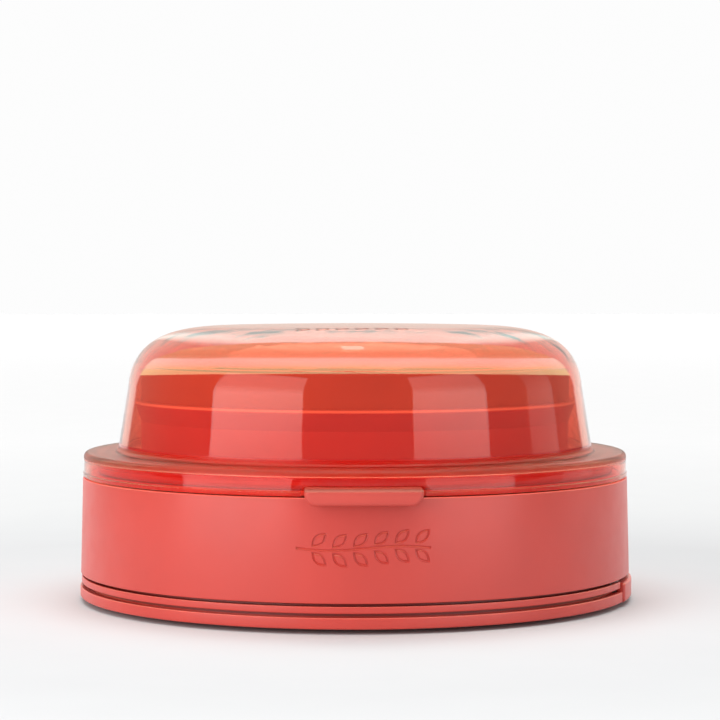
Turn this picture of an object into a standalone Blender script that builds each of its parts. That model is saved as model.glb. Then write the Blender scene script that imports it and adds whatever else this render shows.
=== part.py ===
"""A round lunch box with a clear dome lid and a cutlery drawer in its base.

Every length is in millimetres, and MM turns it into metres where a mesh is made. The
box stands on z = 0 with its axis on world Z. The pull tab faces -Y and the drawer
opens towards +X. An outline is a list of corners (radius, height) or (radius, height,
fillet), which runs clockwise: outwards along the top and down the outer side.
"""

import math

import bpy
from mathutils import Matrix, Vector

MM = 0.001
STEPS_ROUND = 40  # facets round each large turned piece
STEPS_SMALL = 16  # facets round a screw or the vent plug
FILLET_STEPS = 2  # facets along each rounded corner
CLEAR = 0.3  # air between two pieces that touch
PAST = 2.0  # how far a cutter runs past what it cuts
SUNK = 0.5  # how far a joined shape reaches into its neighbour
EDGE = 0.5  # fillet on a small moulded edge
EDGE_BOLD = 0.9  # fillet on a larger outer edge
OUTSIDE = 110.0  # a radius beyond every piece

# Base: a shallow dish with a non-slip pad below and a clip-on band round its neck.
BASE_BOTTOM = 1.6
BASE_RADIUS = 94.0
BASE_FLOOR = 3.5
BASE_INNER_RADIUS = 87.0
LIP_TOP = 5.3
NECK_RADIUS = 91.4
NECK_TOP = 9.2
SNAP_HEIGHT = 6.65
SNAP_DEPTH = 0.6
PAD_RADIUS = 74.0
PAD_THICKNESS = 1.9
BAND_RADIUS = 93.5
BAND_BOTTOM = 6.4
BAND_TOP = 8.7
BAND_RIB_RADIUS = 90.3
BAND_RIB_INSET = 0.5

# Outer shell: the matte drum that stands on the base.
SHELL_RADIUS = 93.0
SHELL_FOOT_RADIUS = 93.8
SHELL_BOTTOM = 9.5
SHELL_FLOOR = 11.7
SHELL_TOP = 42.0
SHELL_INNER_RADIUS = 90.8
SHELL_CORNER = 1.5
LEDGE_HEIGHT = 39.7
LEDGE_RADIUS = 91.8
SPIGOT_OUTER = 86.7
SPIGOT_INNER = 84.4
SPIGOT_BOTTOM = 5.6

# Screws that hold the base to the shell, hidden by the pad.
SCREW_CIRCLE = 64.0
SCREW_ANGLES = (45, 135, 225, 315)
SCREW_HEAD_RADIUS = 2.5
SCREW_SHANK_RADIUS = 1.4
SCREW_BOTTOM = 2.5
SCREW_HEAD_TOP = 3.8
SCREW_TOP = 10.7
BOSS_RADIUS = 4.2
BOSS_JOINT = 6.6

# Food bowl that lifts out of the shell.
BOWL_BOTTOM = 12.0
BOWL_WALL = 1.6
BOWL_FOOT_RADIUS = 84.0
BOWL_MOUTH_RADIUS = 88.5
BOWL_CORNER = 12.0
BOWL_FLANGE_RADIUS = 91.5
BOWL_FLANGE_BOTTOM = 40.0
BOWL_TOP = 41.7
DIVIDER_GAP = 0.5
BOWL_DIVIDER_WALL = 1.8
BOWL_DIVIDER_TOP = 37.5
BOWL_DIVIDER_Y = 14.0

# Inner lid: the plate under the dome, with the pull tab.
PLATE_BOTTOM = 42.3
PLATE_TOP = 43.9
PLATE_RADIUS = 90.3
PLUG_RADIUS = 84.6
PLUG_WALL = 1.8
PLUG_BOTTOM = 38.5
PLUG_LIP = 0.9
SEAL_OUTER = 86.2
LOCATING_RADIUS = 73.7
LOCATING_WALL = 1.2
LOCATING_TOP = 45.4
TAB_WIDTH = 36.6
TAB_BOTTOM = 40.0
TAB_TOP = 45.2
TAB_REACH = 100.6
TAB_ROOT = 89.2
TAB_KEEL_RADIUS = 3.9
TAB_KEEL_BACK = 93.8

# Vent plug in the plate, behind the tray.
VENT_Y = 80.1
VENT_BUTTON_RADIUS = 3.5
VENT_STEM_RADIUS = 1.7
VENT_FOOT_RADIUS = 2.4
VENT_BARB = 1.3
VENT_TOP = 46.1
VENT_TRAVEL = 1.8

# Upper tray that stands on the plate under the dome.
TRAY_BOTTOM = 44.2
TRAY_WALL = 1.6
TRAY_RADIUS = 73.2
TRAY_CORNER = 4.0
TRAY_TOP = 79.0
TRAY_BEAD_RADIUS = 75.2
TRAY_BEAD_BOTTOM = 66.6
TRAY_BEAD_TOP = 67.9
TRAY_DIVIDER_WALL = 1.4
TRAY_DIVIDER_TOP = 72.0
TRAY_BLADES = (90, 210, 330)
HUB_RADIUS = 2.4

# Dome lid: dome, flange and skirt in one clear moulding.
DOME_WALL = 2.0
DOME_TOP = 93.4
CROWN_HANDLES = ((18.0, 93.4), (34.0, 93.3))
CROWN_EDGE = (50.0, 92.9)
CROWN_STEPS = 2
SHOULDER_HANDLES = ((69.0, 91.9), (76.8, 84.5))
SHOULDER_FOOT = (77.7, 72.0)
SHOULDER_STEPS = 6
DOME_FOOT_RADIUS = 81.2
DOME_FOOT_FILLET = 1.6
FLANGE_TOP = 50.5
FLANGE_BOTTOM = 48.3
FLANGE_FILLET = 1.8
SKIRT_OUTER = 93.0
SKIRT_INNER = 90.8
SKIRT_BOTTOM = 42.4
SEAL_RIB_BOTTOM = 46.5
SEAL_RIBS = ((89.5, 88.5), (85.0, 84.0))
NOTCH_WIDTH = 38.6
NOTCH_TOP = 45.7
NOTCH_CORNER = 1.6
NOTCH_BACK = 86.0

# Cutlery drawer across the base, with its two rails.
DOOR_HALF_WIDTH = 33.0
DOORWAY_BACK = 70.0
DOOR_RECESS = 0.2
DRAWER_HALF_WIDTH = 27.0
DRAWER_BACK = -79.0
DRAWER_FRONT_RADIUS = 91.3
DRAWER_BOTTOM = 3.8
DRAWER_FLOOR = 4.8
DRAWER_TOP = 8.6
DRAWER_WALL = 1.2
FACE_INNER = 91.6
FACE_OUTER = 94.6
FACE_TOP = 8.1
RAIL_WIDTH = 4.0
RAIL_BACK = -76.0
RAIL_FRONT = 77.0
RAIL_TOP = 9.2
SLOT_DEPTH = 1.6
SLOT_BOTTOM = 5.6
SLOT_TOP = 7.2
RUNNER_WIDTH = 1.3
RUNNER_BOTTOM = 5.9
RUNNER_TOP = 6.9
RUNNER_BACK = -75.0
RUNNER_FRONT = -36.0
DRAWER_TRAVEL = 110.0

# Cutlery, cut from sheet steel and pressed.
STEEL = 1.2
CUTLERY_BOTTOM = 5.1
FORK_Y = -13.0
SPOON_Y = 12.5
CUTLERY_HANDLE = 9.0
CUTLERY_NECK = 5.0
CUTLERY_LENGTH = 148.0
SPOON_LENGTH = 44.0
SPOON_WIDTH = 24.6
SPOON_DEPTH = 3.1
SPOON_OVERLAP = 1.5
FORK_HEAD_LENGTH = 42.0
FORK_HEAD_WIDTH = 21.0
FORK_TINES = 4
FORK_SLOT_WIDTH = 2.4
FORK_SLOT_LENGTH = 24.0
FORK_SHOULDER = 12.0
FORK_TAPER = 2.0

COLOURS = {
    "matte_coral": ((0.80, 0.100, 0.072, 1.0), 0.45, 0.0),
    "clear_coral": ((0.85, 0.170, 0.105, 1.0), 0.08, 0.0),
    "coral_silicone": ((0.70, 0.090, 0.070, 1.0), 0.60, 0.0),
    "grey_silicone": ((0.16, 0.155, 0.155, 1.0), 0.70, 0.0),
    "white_plastic": ((0.82, 0.80, 0.76, 1.0), 0.40, 0.0),
    "cream_plastic": ((0.85, 0.78, 0.66, 1.0), 0.35, 0.0),
    "steel": ((0.62, 0.61, 0.60, 1.0), 0.28, 1.0),
}


def clear_scene():
    for thing in list(bpy.data.objects):
        bpy.data.objects.remove(thing, do_unlink=True)


def new_collection(name):
    collection = bpy.data.collections.new(name)
    bpy.context.scene.collection.children.link(collection)
    return collection


def make_material(node_name, look):
    colour, roughness, metallic = COLOURS[look]
    material = bpy.data.materials.new(node_name)
    material.use_nodes = True
    shader = material.node_tree.nodes["Principled BSDF"]
    shader.inputs["Base Color"].default_value = colour
    shader.inputs["Roughness"].default_value = roughness
    shader.inputs["Metallic"].default_value = metallic
    material.diffuse_color = colour
    return material


def add_part(obj, name, look, body):
    """Names a solid, gives it its own material and hangs it on its body's empty."""
    obj.name = name
    obj.data.name = name
    obj.data.materials.clear()
    obj.data.materials.append(make_material(name, look))
    for collection in list(obj.users_collection):
        collection.objects.unlink(obj)
    PARTS.objects.link(obj)
    obj.parent = body
    obj.matrix_parent_inverse = body.matrix_world.inverted()
    return obj


def add_cutter(obj, name):
    """Puts a shape among the cutters, where the build leaves it out."""
    obj.name = name
    obj.hide_render = True
    obj.display_type = "WIRE"
    for collection in list(obj.users_collection):
        collection.objects.unlink(obj)
    CUTTERS.objects.link(obj)
    return obj


def boolean(obj, other, operation):
    modifier = obj.modifiers.new(operation.lower(), "BOOLEAN")
    modifier.operation = operation
    modifier.object = other
    modifier.solver = "EXACT"
    return modifier


def rounded(corners):
    """An outline's corners, with each one that names a fillet turned into an arc."""
    points = []
    for index, corner in enumerate(corners):
        here = Vector(corner[:2])
        if len(corner) == 2:
            points.append(here)
            continue
        back = (Vector(corners[index - 1][:2]) - here).normalized()
        ahead = (Vector(corners[(index + 1) % len(corners)][:2]) - here).normalized()
        half = back.angle(ahead) / 2
        centre = here + (back + ahead).normalized() * corner[2] / math.sin(half)
        start = here + back * corner[2] / math.tan(half) - centre
        end = here + ahead * corner[2] / math.tan(half) - centre
        sweep = start.angle_signed(end)
        first = math.atan2(start.y, start.x)
        for step in range(FILLET_STEPS + 1):
            angle = first - sweep * step / FILLET_STEPS
            points.append(centre + corner[2] * Vector((math.cos(angle), math.sin(angle))))
    return points


def turned(points, steps=STEPS_ROUND, centre=(0, 0)):
    """Turns an outline round the vertical line through centre."""
    vertices = [(point[0] * MM, 0, point[1] * MM) for point in points]
    edges = [(index, index + 1) for index in range(len(points) - 1)]
    if points[0][0] > 0:
        edges.append((len(points) - 1, 0))
    mesh = bpy.data.meshes.new("outline")
    mesh.from_pydata(vertices, edges, [])
    obj = bpy.data.objects.new("turned", mesh)
    bpy.context.scene.collection.objects.link(obj)
    obj.location = (centre[0] * MM, centre[1] * MM, 0)
    screw = obj.modifiers.new("turn", "SCREW")
    screw.axis = "Z"
    screw.steps = steps
    screw.render_steps = steps
    screw.use_merge_vertices = True
    screw.merge_threshold = 0.00001
    screw.use_smooth_shade = True
    return obj


def box(low, high):
    """A box between two corners, with its scale applied."""
    bpy.ops.mesh.primitive_cube_add(size=1)
    obj = bpy.context.object
    size = (Vector(high) - Vector(low)) * MM
    obj.data.transform(Matrix.Diagonal(size).to_4x4())
    obj.location = (Vector(low) + Vector(high)) / 2 * MM
    return obj


def drum(radius, bottom, top):
    """A plain turned disc, used as a cutter."""
    return turned([(0, top), (radius, top), (radius, bottom), (0, bottom)])


def prism(corners, low, high, upright):
    """A flat outline pulled from low to high.

    An upright outline is (x, z) and is pulled along Y. The other kind is (x, y) and is
    pulled along Z.
    """
    points = rounded(corners)
    mesh = bpy.data.meshes.new("prism")
    spots = [(p.x, low, p.y) if upright else (p.x, p.y, low) for p in points]
    mesh.from_pydata([Vector(spot) * MM for spot in spots], [], [range(len(spots))])
    obj = bpy.data.objects.new("prism", mesh)
    bpy.context.scene.collection.objects.link(obj)
    solidify = obj.modifiers.new("thickness", "SOLIDIFY")
    solidify.thickness = (high - low) * MM
    solidify.offset = 1
    if mesh.polygons[0].normal.dot(Vector((0, upright, not upright))) < 0:
        solidify.offset = -1
    return obj


def empty(name, location):
    obj = bpy.data.objects.new(name, None)
    obj.empty_display_size = 10 * MM
    obj.location = Vector(location) * MM
    PARTS.objects.link(obj)
    bpy.context.view_layer.update()
    return obj


def smooth_cubic(start, first, second, end, steps):
    """Points along a cubic curve, without its start."""
    points = []
    for step in range(1, steps + 1):
        t = step / steps
        points.append(
            (1 - t) ** 3 * Vector(start)
            + 3 * t * (1 - t) ** 2 * Vector(first)
            + 3 * t**2 * (1 - t) * Vector(second)
            + t**3 * Vector(end)
        )
    return points


def inner_wall(height, foot_radius, mouth_radius, foot, mouth):
    """The radius of a drafted wall at a height between its foot and its mouth."""
    return foot_radius + (mouth_radius - foot_radius) * (height - foot) / (mouth - foot)


def make_base(body):
    groove = BAND_RIB_INSET - CLEAR
    outline = [
        (0, BASE_FLOOR),
        (BASE_INNER_RADIUS, BASE_FLOOR),
        (BASE_INNER_RADIUS, SNAP_HEIGHT - SNAP_DEPTH - CLEAR),
        (BASE_INNER_RADIUS + SNAP_DEPTH, SNAP_HEIGHT - CLEAR),
        (BASE_INNER_RADIUS + SNAP_DEPTH, SNAP_HEIGHT + CLEAR),
        (BASE_INNER_RADIUS, SNAP_HEIGHT + SNAP_DEPTH + CLEAR),
        (BASE_INNER_RADIUS, NECK_TOP),
        (NECK_RADIUS, NECK_TOP),
        (NECK_RADIUS, BAND_TOP - groove),
        (BAND_RIB_RADIUS - CLEAR, BAND_TOP - groove),
        (BAND_RIB_RADIUS - CLEAR, BAND_BOTTOM + groove),
        (NECK_RADIUS, BAND_BOTTOM + groove),
        (NECK_RADIUS, LIP_TOP),
        (BASE_RADIUS, LIP_TOP, EDGE),
        (BASE_RADIUS, BASE_BOTTOM, EDGE_BOLD),
        (PAD_RADIUS + CLEAR, BASE_BOTTOM),
        (PAD_RADIUS + CLEAR, PAD_THICKNESS + CLEAR),
        (0, PAD_THICKNESS + CLEAR),
    ]
    base = turned(rounded(outline))
    add_part(base, "base_cover", "matte_coral", body)
    for angle in SCREW_ANGLES:
        boss = post(BOSS_RADIUS, BASE_FLOOR - SUNK, BOSS_JOINT, screw_spot(angle))
        boolean(base, add_cutter(boss, "base_boss"), "UNION")
    for angle in SCREW_ANGLES:
        head = SCREW_HEAD_RADIUS + CLEAR
        shank = SCREW_SHANK_RADIUS + CLEAR
        shoulder = SCREW_HEAD_TOP + CLEAR
        high = BOSS_JOINT + PAST
        low = BASE_BOTTOM - PAST
        hole = turned(
            [(0, high), (shank, high), (shank, shoulder), (head, shoulder), (head, low), (0, low)],
            STEPS_SMALL,
            screw_spot(angle),
        )
        boolean(base, add_cutter(hole, "screw_hole"), "DIFFERENCE")
    doorway = door_sector(DOOR_HALF_WIDTH, BASE_FLOOR - DOOR_RECESS, NECK_TOP + PAST)
    boolean(base, add_cutter(doorway, "doorway"), "DIFFERENCE")
    sill = turned(
        [
            (OUTSIDE, BASE_FLOOR),
            (OUTSIDE, BASE_BOTTOM - PAST),
            (DRAWER_FRONT_RADIUS, BASE_BOTTOM - PAST),
            (DRAWER_FRONT_RADIUS, BASE_FLOOR),
        ]
    )
    add_cutter(sill, "sill")
    sector = door_sector(DOOR_HALF_WIDTH, -PAST, BASE_FLOOR + PAST)
    boolean(sill, add_cutter(sector, "sill_sector"), "INTERSECT")
    boolean(base, sill, "DIFFERENCE")


def door_sector(half_width, low, high):
    """A box that spans the drawer's doorway and everything outside it."""
    return box((DOORWAY_BACK, -half_width, low), (OUTSIDE, half_width, high))


def post(radius, low, high, spot):
    """A plain upright post at a spot."""
    return turned([(0, high), (radius, high), (radius, low), (0, low)], STEPS_SMALL, spot)


def screw_spot(angle):
    turn = math.radians(angle)
    return (SCREW_CIRCLE * math.cos(turn), SCREW_CIRCLE * math.sin(turn))


def make_pad(body):
    pad = turned(
        rounded([(0, PAD_THICKNESS), (PAD_RADIUS, PAD_THICKNESS), (PAD_RADIUS, 0, EDGE), (0, 0)])
    )
    add_part(pad, "foot_pad", "grey_silicone", body)


def make_band(body):
    outline = [
        (NECK_RADIUS + CLEAR, BAND_TOP),
        (BAND_RADIUS, BAND_TOP, EDGE),
        (BAND_RADIUS, BAND_BOTTOM, EDGE),
        (NECK_RADIUS + CLEAR, BAND_BOTTOM),
        (NECK_RADIUS + CLEAR, BAND_BOTTOM + BAND_RIB_INSET),
        (BAND_RIB_RADIUS, BAND_BOTTOM + BAND_RIB_INSET),
        (BAND_RIB_RADIUS, BAND_TOP - BAND_RIB_INSET),
        (NECK_RADIUS + CLEAR, BAND_TOP - BAND_RIB_INSET),
    ]
    band = turned(rounded(outline))
    add_part(band, "trim_band", "matte_coral", body)
    gap = door_sector(DOOR_HALF_WIDTH + CLEAR, BAND_BOTTOM - PAST, BAND_TOP + PAST)
    boolean(band, add_cutter(gap, "band_gap"), "DIFFERENCE")


def make_shell(body):
    outline = [
        (0, SHELL_FLOOR),
        (SHELL_INNER_RADIUS, SHELL_FLOOR, SHELL_CORNER),
        (SHELL_INNER_RADIUS, LEDGE_HEIGHT),
        (LEDGE_RADIUS, LEDGE_HEIGHT),
        (LEDGE_RADIUS, SHELL_TOP),
        (SHELL_RADIUS, SHELL_TOP, EDGE),
        (SHELL_FOOT_RADIUS, SHELL_BOTTOM, EDGE_BOLD),
        (SPIGOT_OUTER, SHELL_BOTTOM),
        (SPIGOT_OUTER, SNAP_HEIGHT + SNAP_DEPTH),
        (SPIGOT_OUTER + SNAP_DEPTH, SNAP_HEIGHT),
        (SPIGOT_OUTER, SNAP_HEIGHT - SNAP_DEPTH),
        (SPIGOT_OUTER, SPIGOT_BOTTOM),
        (SPIGOT_INNER, SPIGOT_BOTTOM),
        (SPIGOT_INNER, SHELL_BOTTOM),
        (0, SHELL_BOTTOM),
    ]
    shell = turned(rounded(outline))
    add_part(shell, "outer_shell", "matte_coral", body)
    doorway = door_sector(DOOR_HALF_WIDTH, SPIGOT_BOTTOM - PAST, SHELL_BOTTOM + DOOR_RECESS)
    boolean(shell, add_cutter(doorway, "spigot_doorway"), "DIFFERENCE")
    joint = BOSS_JOINT + CLEAR
    for angle in SCREW_ANGLES:
        boss = post(BOSS_RADIUS, joint, SHELL_BOTTOM + SUNK, screw_spot(angle))
        boolean(shell, add_cutter(boss, "shell_boss"), "UNION")
    for angle in SCREW_ANGLES:
        radius = SCREW_SHANK_RADIUS + CLEAR
        hole = post(radius, joint - PAST, SCREW_TOP + CLEAR, screw_spot(angle))
        boolean(shell, add_cutter(hole, "pilot_hole"), "DIFFERENCE")


def make_screws(body):
    outline = [
        (0, SCREW_TOP),
        (SCREW_SHANK_RADIUS, SCREW_TOP - SCREW_SHANK_RADIUS),
        (SCREW_SHANK_RADIUS, SCREW_HEAD_TOP),
        (SCREW_HEAD_RADIUS, SCREW_HEAD_TOP),
        (SCREW_HEAD_RADIUS, SCREW_BOTTOM),
        (0, SCREW_BOTTOM),
    ]
    for number, angle in enumerate(SCREW_ANGLES, start=1):
        screw = turned(outline, STEPS_SMALL, screw_spot(angle))
        add_part(screw, f"base_screw_{number}", "steel", body)


def make_bowl(body):
    inner_foot = BOWL_FOOT_RADIUS - BOWL_WALL
    inner_mouth = BOWL_MOUTH_RADIUS - BOWL_WALL
    outline = [
        (0, BOWL_BOTTOM + BOWL_WALL),
        (inner_foot, BOWL_BOTTOM + BOWL_WALL, BOWL_CORNER - BOWL_WALL),
        (inner_mouth, BOWL_TOP),
        (BOWL_FLANGE_RADIUS, BOWL_TOP),
        (BOWL_FLANGE_RADIUS, BOWL_FLANGE_BOTTOM),
        (BOWL_MOUTH_RADIUS, BOWL_FLANGE_BOTTOM),
        (BOWL_FOOT_RADIUS, BOWL_BOTTOM, BOWL_CORNER),
        (0, BOWL_BOTTOM),
    ]
    add_part(turned(rounded(outline)), "food_bowl", "cream_plastic", body)


def make_bowl_divider(body):
    """A T of two plates, trimmed to the inside of the bowl."""
    low = BOWL_BOTTOM + BOWL_WALL + DIVIDER_GAP
    half = BOWL_DIVIDER_WALL / 2
    bottom = low - PAST
    top = BOWL_DIVIDER_TOP + PAST
    long_plate = box(
        (-OUTSIDE, BOWL_DIVIDER_Y - half, bottom), (OUTSIDE, BOWL_DIVIDER_Y + half, top)
    )
    short_plate = box((-half, BOWL_DIVIDER_Y, bottom), (half, OUTSIDE, top))
    inner_foot = BOWL_FOOT_RADIUS - BOWL_WALL - DIVIDER_GAP
    inner_mouth = BOWL_MOUTH_RADIUS - BOWL_WALL - DIVIDER_GAP
    at_top = inner_wall(BOWL_DIVIDER_TOP, inner_foot, inner_mouth, low, BOWL_TOP)
    room = turned(
        rounded(
            [
                (0, BOWL_DIVIDER_TOP),
                (at_top, BOWL_DIVIDER_TOP),
                (inner_foot, low, BOWL_CORNER - BOWL_WALL - DIVIDER_GAP),
                (0, low),
            ]
        )
    )
    add_part(long_plate, "bowl_divider", "cream_plastic", body)
    boolean(long_plate, add_cutter(short_plate, "short_plate"), "UNION")
    boolean(long_plate, add_cutter(room, "bowl_room"), "INTERSECT")


def make_inner_lid(body):
    outline = [
        (0, PLATE_TOP),
        (LOCATING_RADIUS, PLATE_TOP),
        (LOCATING_RADIUS, LOCATING_TOP),
        (LOCATING_RADIUS + LOCATING_WALL, LOCATING_TOP),
        (LOCATING_RADIUS + LOCATING_WALL, PLATE_TOP),
        (PLATE_RADIUS, PLATE_TOP),
        (PLATE_RADIUS, PLATE_BOTTOM),
        (PLUG_RADIUS, PLATE_BOTTOM),
        (PLUG_RADIUS, PLUG_BOTTOM + PLUG_LIP),
        (PLUG_RADIUS + PLUG_LIP, PLUG_BOTTOM + PLUG_LIP),
        (PLUG_RADIUS + PLUG_LIP, PLUG_BOTTOM),
        (PLUG_RADIUS - PLUG_WALL, PLUG_BOTTOM),
        (PLUG_RADIUS - PLUG_WALL, PLATE_BOTTOM),
        (0, PLATE_BOTTOM),
    ]
    lid = turned(rounded(outline))
    add_part(lid, "inner_lid", "matte_coral", body)
    boolean(lid, make_tab(), "UNION")
    radius = VENT_STEM_RADIUS + CLEAR
    hole = post(radius, PLATE_BOTTOM - PAST, PLATE_TOP + PAST, (0, VENT_Y))
    boolean(lid, add_cutter(hole, "vent_hole"), "DIFFERENCE")


def make_tab():
    """The pull tab: a boat-shaped block whose front follows the round of the box."""
    half = TAB_WIDTH / 2
    front_view = prism(
        [
            (-half, TAB_TOP, EDGE_BOLD),
            (half, TAB_TOP, EDGE_BOLD),
            (half, TAB_BOTTOM, TAB_KEEL_RADIUS),
            (-half, TAB_BOTTOM, TAB_KEEL_RADIUS),
        ],
        -TAB_REACH - PAST,
        -TAB_ROOT,
        True,
    )
    reach = drum(TAB_REACH, TAB_BOTTOM - PAST, TAB_TOP + PAST)
    boolean(front_view, add_cutter(reach, "tab_reach"), "INTERSECT")
    shell_room = drum(TAB_KEEL_BACK, TAB_BOTTOM - PAST, PLATE_BOTTOM)
    boolean(front_view, add_cutter(shell_room, "shell_room"), "DIFFERENCE")
    return add_cutter(front_view, "tab_form")


def make_inner_seal(body):
    low = PLUG_BOTTOM + PLUG_LIP + CLEAR
    inner = PLUG_RADIUS + CLEAR
    outline = [
        (inner, PLATE_BOTTOM - CLEAR),
        (SEAL_OUTER, PLATE_BOTTOM - CLEAR),
        (SEAL_OUTER, low),
        (inner, low),
    ]
    add_part(turned(rounded(outline)), "inner_lid_gasket", "coral_silicone", body)


def make_vent(body):
    foot_top = PLATE_BOTTOM - CLEAR - VENT_TRAVEL
    outline = [
        (0, VENT_TOP),
        (VENT_BUTTON_RADIUS, VENT_TOP, EDGE),
        (VENT_BUTTON_RADIUS, PLATE_TOP + CLEAR),
        (VENT_STEM_RADIUS, PLATE_TOP + CLEAR),
        (VENT_STEM_RADIUS, foot_top),
        (VENT_FOOT_RADIUS, foot_top),
        (VENT_STEM_RADIUS, foot_top - VENT_BARB),
        (0, foot_top - VENT_BARB),
    ]
    plug = turned(rounded(outline), STEPS_SMALL, (0, VENT_Y))
    add_part(plug, "vent_plug", "coral_silicone", body)


def make_tray(body):
    """A straight-walled cup with a flat floor and a bead round its outside."""
    inner = TRAY_RADIUS - TRAY_WALL
    outline = [
        (0, TRAY_BOTTOM + TRAY_WALL),
        (inner, TRAY_BOTTOM + TRAY_WALL, TRAY_CORNER - TRAY_WALL),
        (inner, TRAY_TOP),
        (TRAY_RADIUS, TRAY_TOP, EDGE),
        (TRAY_RADIUS, TRAY_BEAD_TOP),
        (TRAY_BEAD_RADIUS, TRAY_BEAD_TOP),
        (TRAY_BEAD_RADIUS, TRAY_BEAD_BOTTOM),
        (TRAY_RADIUS, TRAY_BEAD_BOTTOM),
        (TRAY_RADIUS, TRAY_BOTTOM, TRAY_CORNER),
        (0, TRAY_BOTTOM),
    ]
    add_part(turned(rounded(outline)), "upper_tray", "matte_coral", body)


def make_tray_divider(body):
    """Three blades from one hub, trimmed to the inside of the tray."""
    low = TRAY_BOTTOM + TRAY_WALL + DIVIDER_GAP
    reach = TRAY_RADIUS - TRAY_WALL - DIVIDER_GAP
    room = turned(
        rounded(
            [
                (0, TRAY_DIVIDER_TOP),
                (reach, TRAY_DIVIDER_TOP),
                (reach, low, TRAY_CORNER - TRAY_WALL),
                (0, low),
            ]
        )
    )
    half = TRAY_DIVIDER_WALL / 2
    bottom = low - PAST
    top = TRAY_DIVIDER_TOP + PAST
    hub = post(HUB_RADIUS, bottom, top, (0, 0))
    add_part(hub, "tray_divider", "cream_plastic", body)
    for angle in TRAY_BLADES:
        blade = box((0, -half, bottom), (TRAY_RADIUS, half, top))
        blade.rotation_euler.z = math.radians(angle)
        middle = Vector((TRAY_RADIUS / 2 * MM, 0, 0))
        middle.rotate(blade.rotation_euler)
        blade.location.xy = middle.xy
        boolean(hub, add_cutter(blade, "tray_blade"), "UNION")
    boolean(hub, add_cutter(room, "tray_room"), "INTERSECT")


def dome_curve():
    """The outside of the dome from the middle of its crown down to its foot."""
    points = [Vector((0, DOME_TOP))]
    points += smooth_cubic(points[0], *CROWN_HANDLES, CROWN_EDGE, CROWN_STEPS)
    points += smooth_cubic(CROWN_EDGE, *SHOULDER_HANDLES, SHOULDER_FOOT, SHOULDER_STEPS)
    return points


def pushed_in(points, distance):
    """The same curve, moved inwards by a wall's thickness."""
    moved = []
    for index, point in enumerate(points):
        before = points[max(index - 1, 0)]
        after = points[min(index + 1, len(points) - 1)]
        along = (after - before).normalized()
        moved.append(point + Vector((along.y, -along.x)) * distance)
    moved[0].x = 0
    return moved


def make_dome(body):
    outside = dome_curve()
    inside = pushed_in(outside, DOME_WALL)
    foot = [
        (DOME_FOOT_RADIUS, FLANGE_TOP, DOME_FOOT_FILLET),
        (SKIRT_OUTER, FLANGE_TOP, FLANGE_FILLET),
        (SKIRT_OUTER, SKIRT_BOTTOM, EDGE),
        (SKIRT_INNER, SKIRT_BOTTOM),
        (SKIRT_INNER, FLANGE_BOTTOM, EDGE_BOLD),
    ]
    for outer, inner in SEAL_RIBS:
        foot += [
            (outer, FLANGE_BOTTOM),
            (outer, SEAL_RIB_BOTTOM),
            (inner, SEAL_RIB_BOTTOM),
            (inner, FLANGE_BOTTOM),
        ]
    foot.append((DOME_FOOT_RADIUS - DOME_WALL, FLANGE_BOTTOM))
    corners = [tuple(point) for point in outside] + foot
    corners += [tuple(point) for point in reversed(inside)]
    dome = turned(rounded(corners))
    add_part(dome, "dome_lid", "clear_coral", body)
    half = NOTCH_WIDTH / 2
    notch = prism(
        [
            (-half, NOTCH_TOP, NOTCH_CORNER),
            (half, NOTCH_TOP, NOTCH_CORNER),
            (half, SKIRT_BOTTOM - PAST),
            (-half, SKIRT_BOTTOM - PAST),
        ],
        -OUTSIDE,
        -NOTCH_BACK,
        True,
    )
    boolean(dome, add_cutter(notch, "tab_notch"), "DIFFERENCE")


def make_dome_seal(body):
    outer = SEAL_RIBS[0][1] - CLEAR
    inner = SEAL_RIBS[1][0] + CLEAR
    top = FLANGE_BOTTOM - CLEAR
    low = PLATE_TOP + CLEAR
    seal = turned([(inner, top), (outer, top), (outer, low), (inner, low)])
    add_part(seal, "dome_gasket", "coral_silicone", body)


def make_rail(body, side, name):
    """A bar with a slot that the drawer's runner slides in, closed at both ends."""
    near = DRAWER_HALF_WIDTH + CLEAR
    far = near + RAIL_WIDTH
    rail = box_between(side, RAIL_BACK, RAIL_FRONT, near, far, BASE_FLOOR + CLEAR, RAIL_TOP)
    add_part(rail, name, "white_plastic", body)
    slot_front = RUNNER_FRONT + DRAWER_TRAVEL + CLEAR
    slot_back = RUNNER_BACK - CLEAR
    slot = box_between(
        side, slot_back, slot_front, near - PAST, near + SLOT_DEPTH, SLOT_BOTTOM, SLOT_TOP
    )
    boolean(rail, add_cutter(slot, "rail_slot"), "DIFFERENCE")


def box_between(side, back, front, near, far, low, high):
    """A box on the left (side -1) or right (side 1) of the drawer."""
    spans = sorted((side * near, side * far))
    return box((back, spans[0], low), (front, spans[1], high))


def drawer_block(front_radius, back, half_width, low, high):
    """A straight-sided block whose front end follows a circle round the box's axis."""
    block = box((back, -half_width, low), (front_radius + PAST, half_width, high))
    front_round = drum(front_radius, low - PAST, high + PAST)
    boolean(block, add_cutter(front_round, "front_round"), "INTERSECT")
    return block


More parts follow.
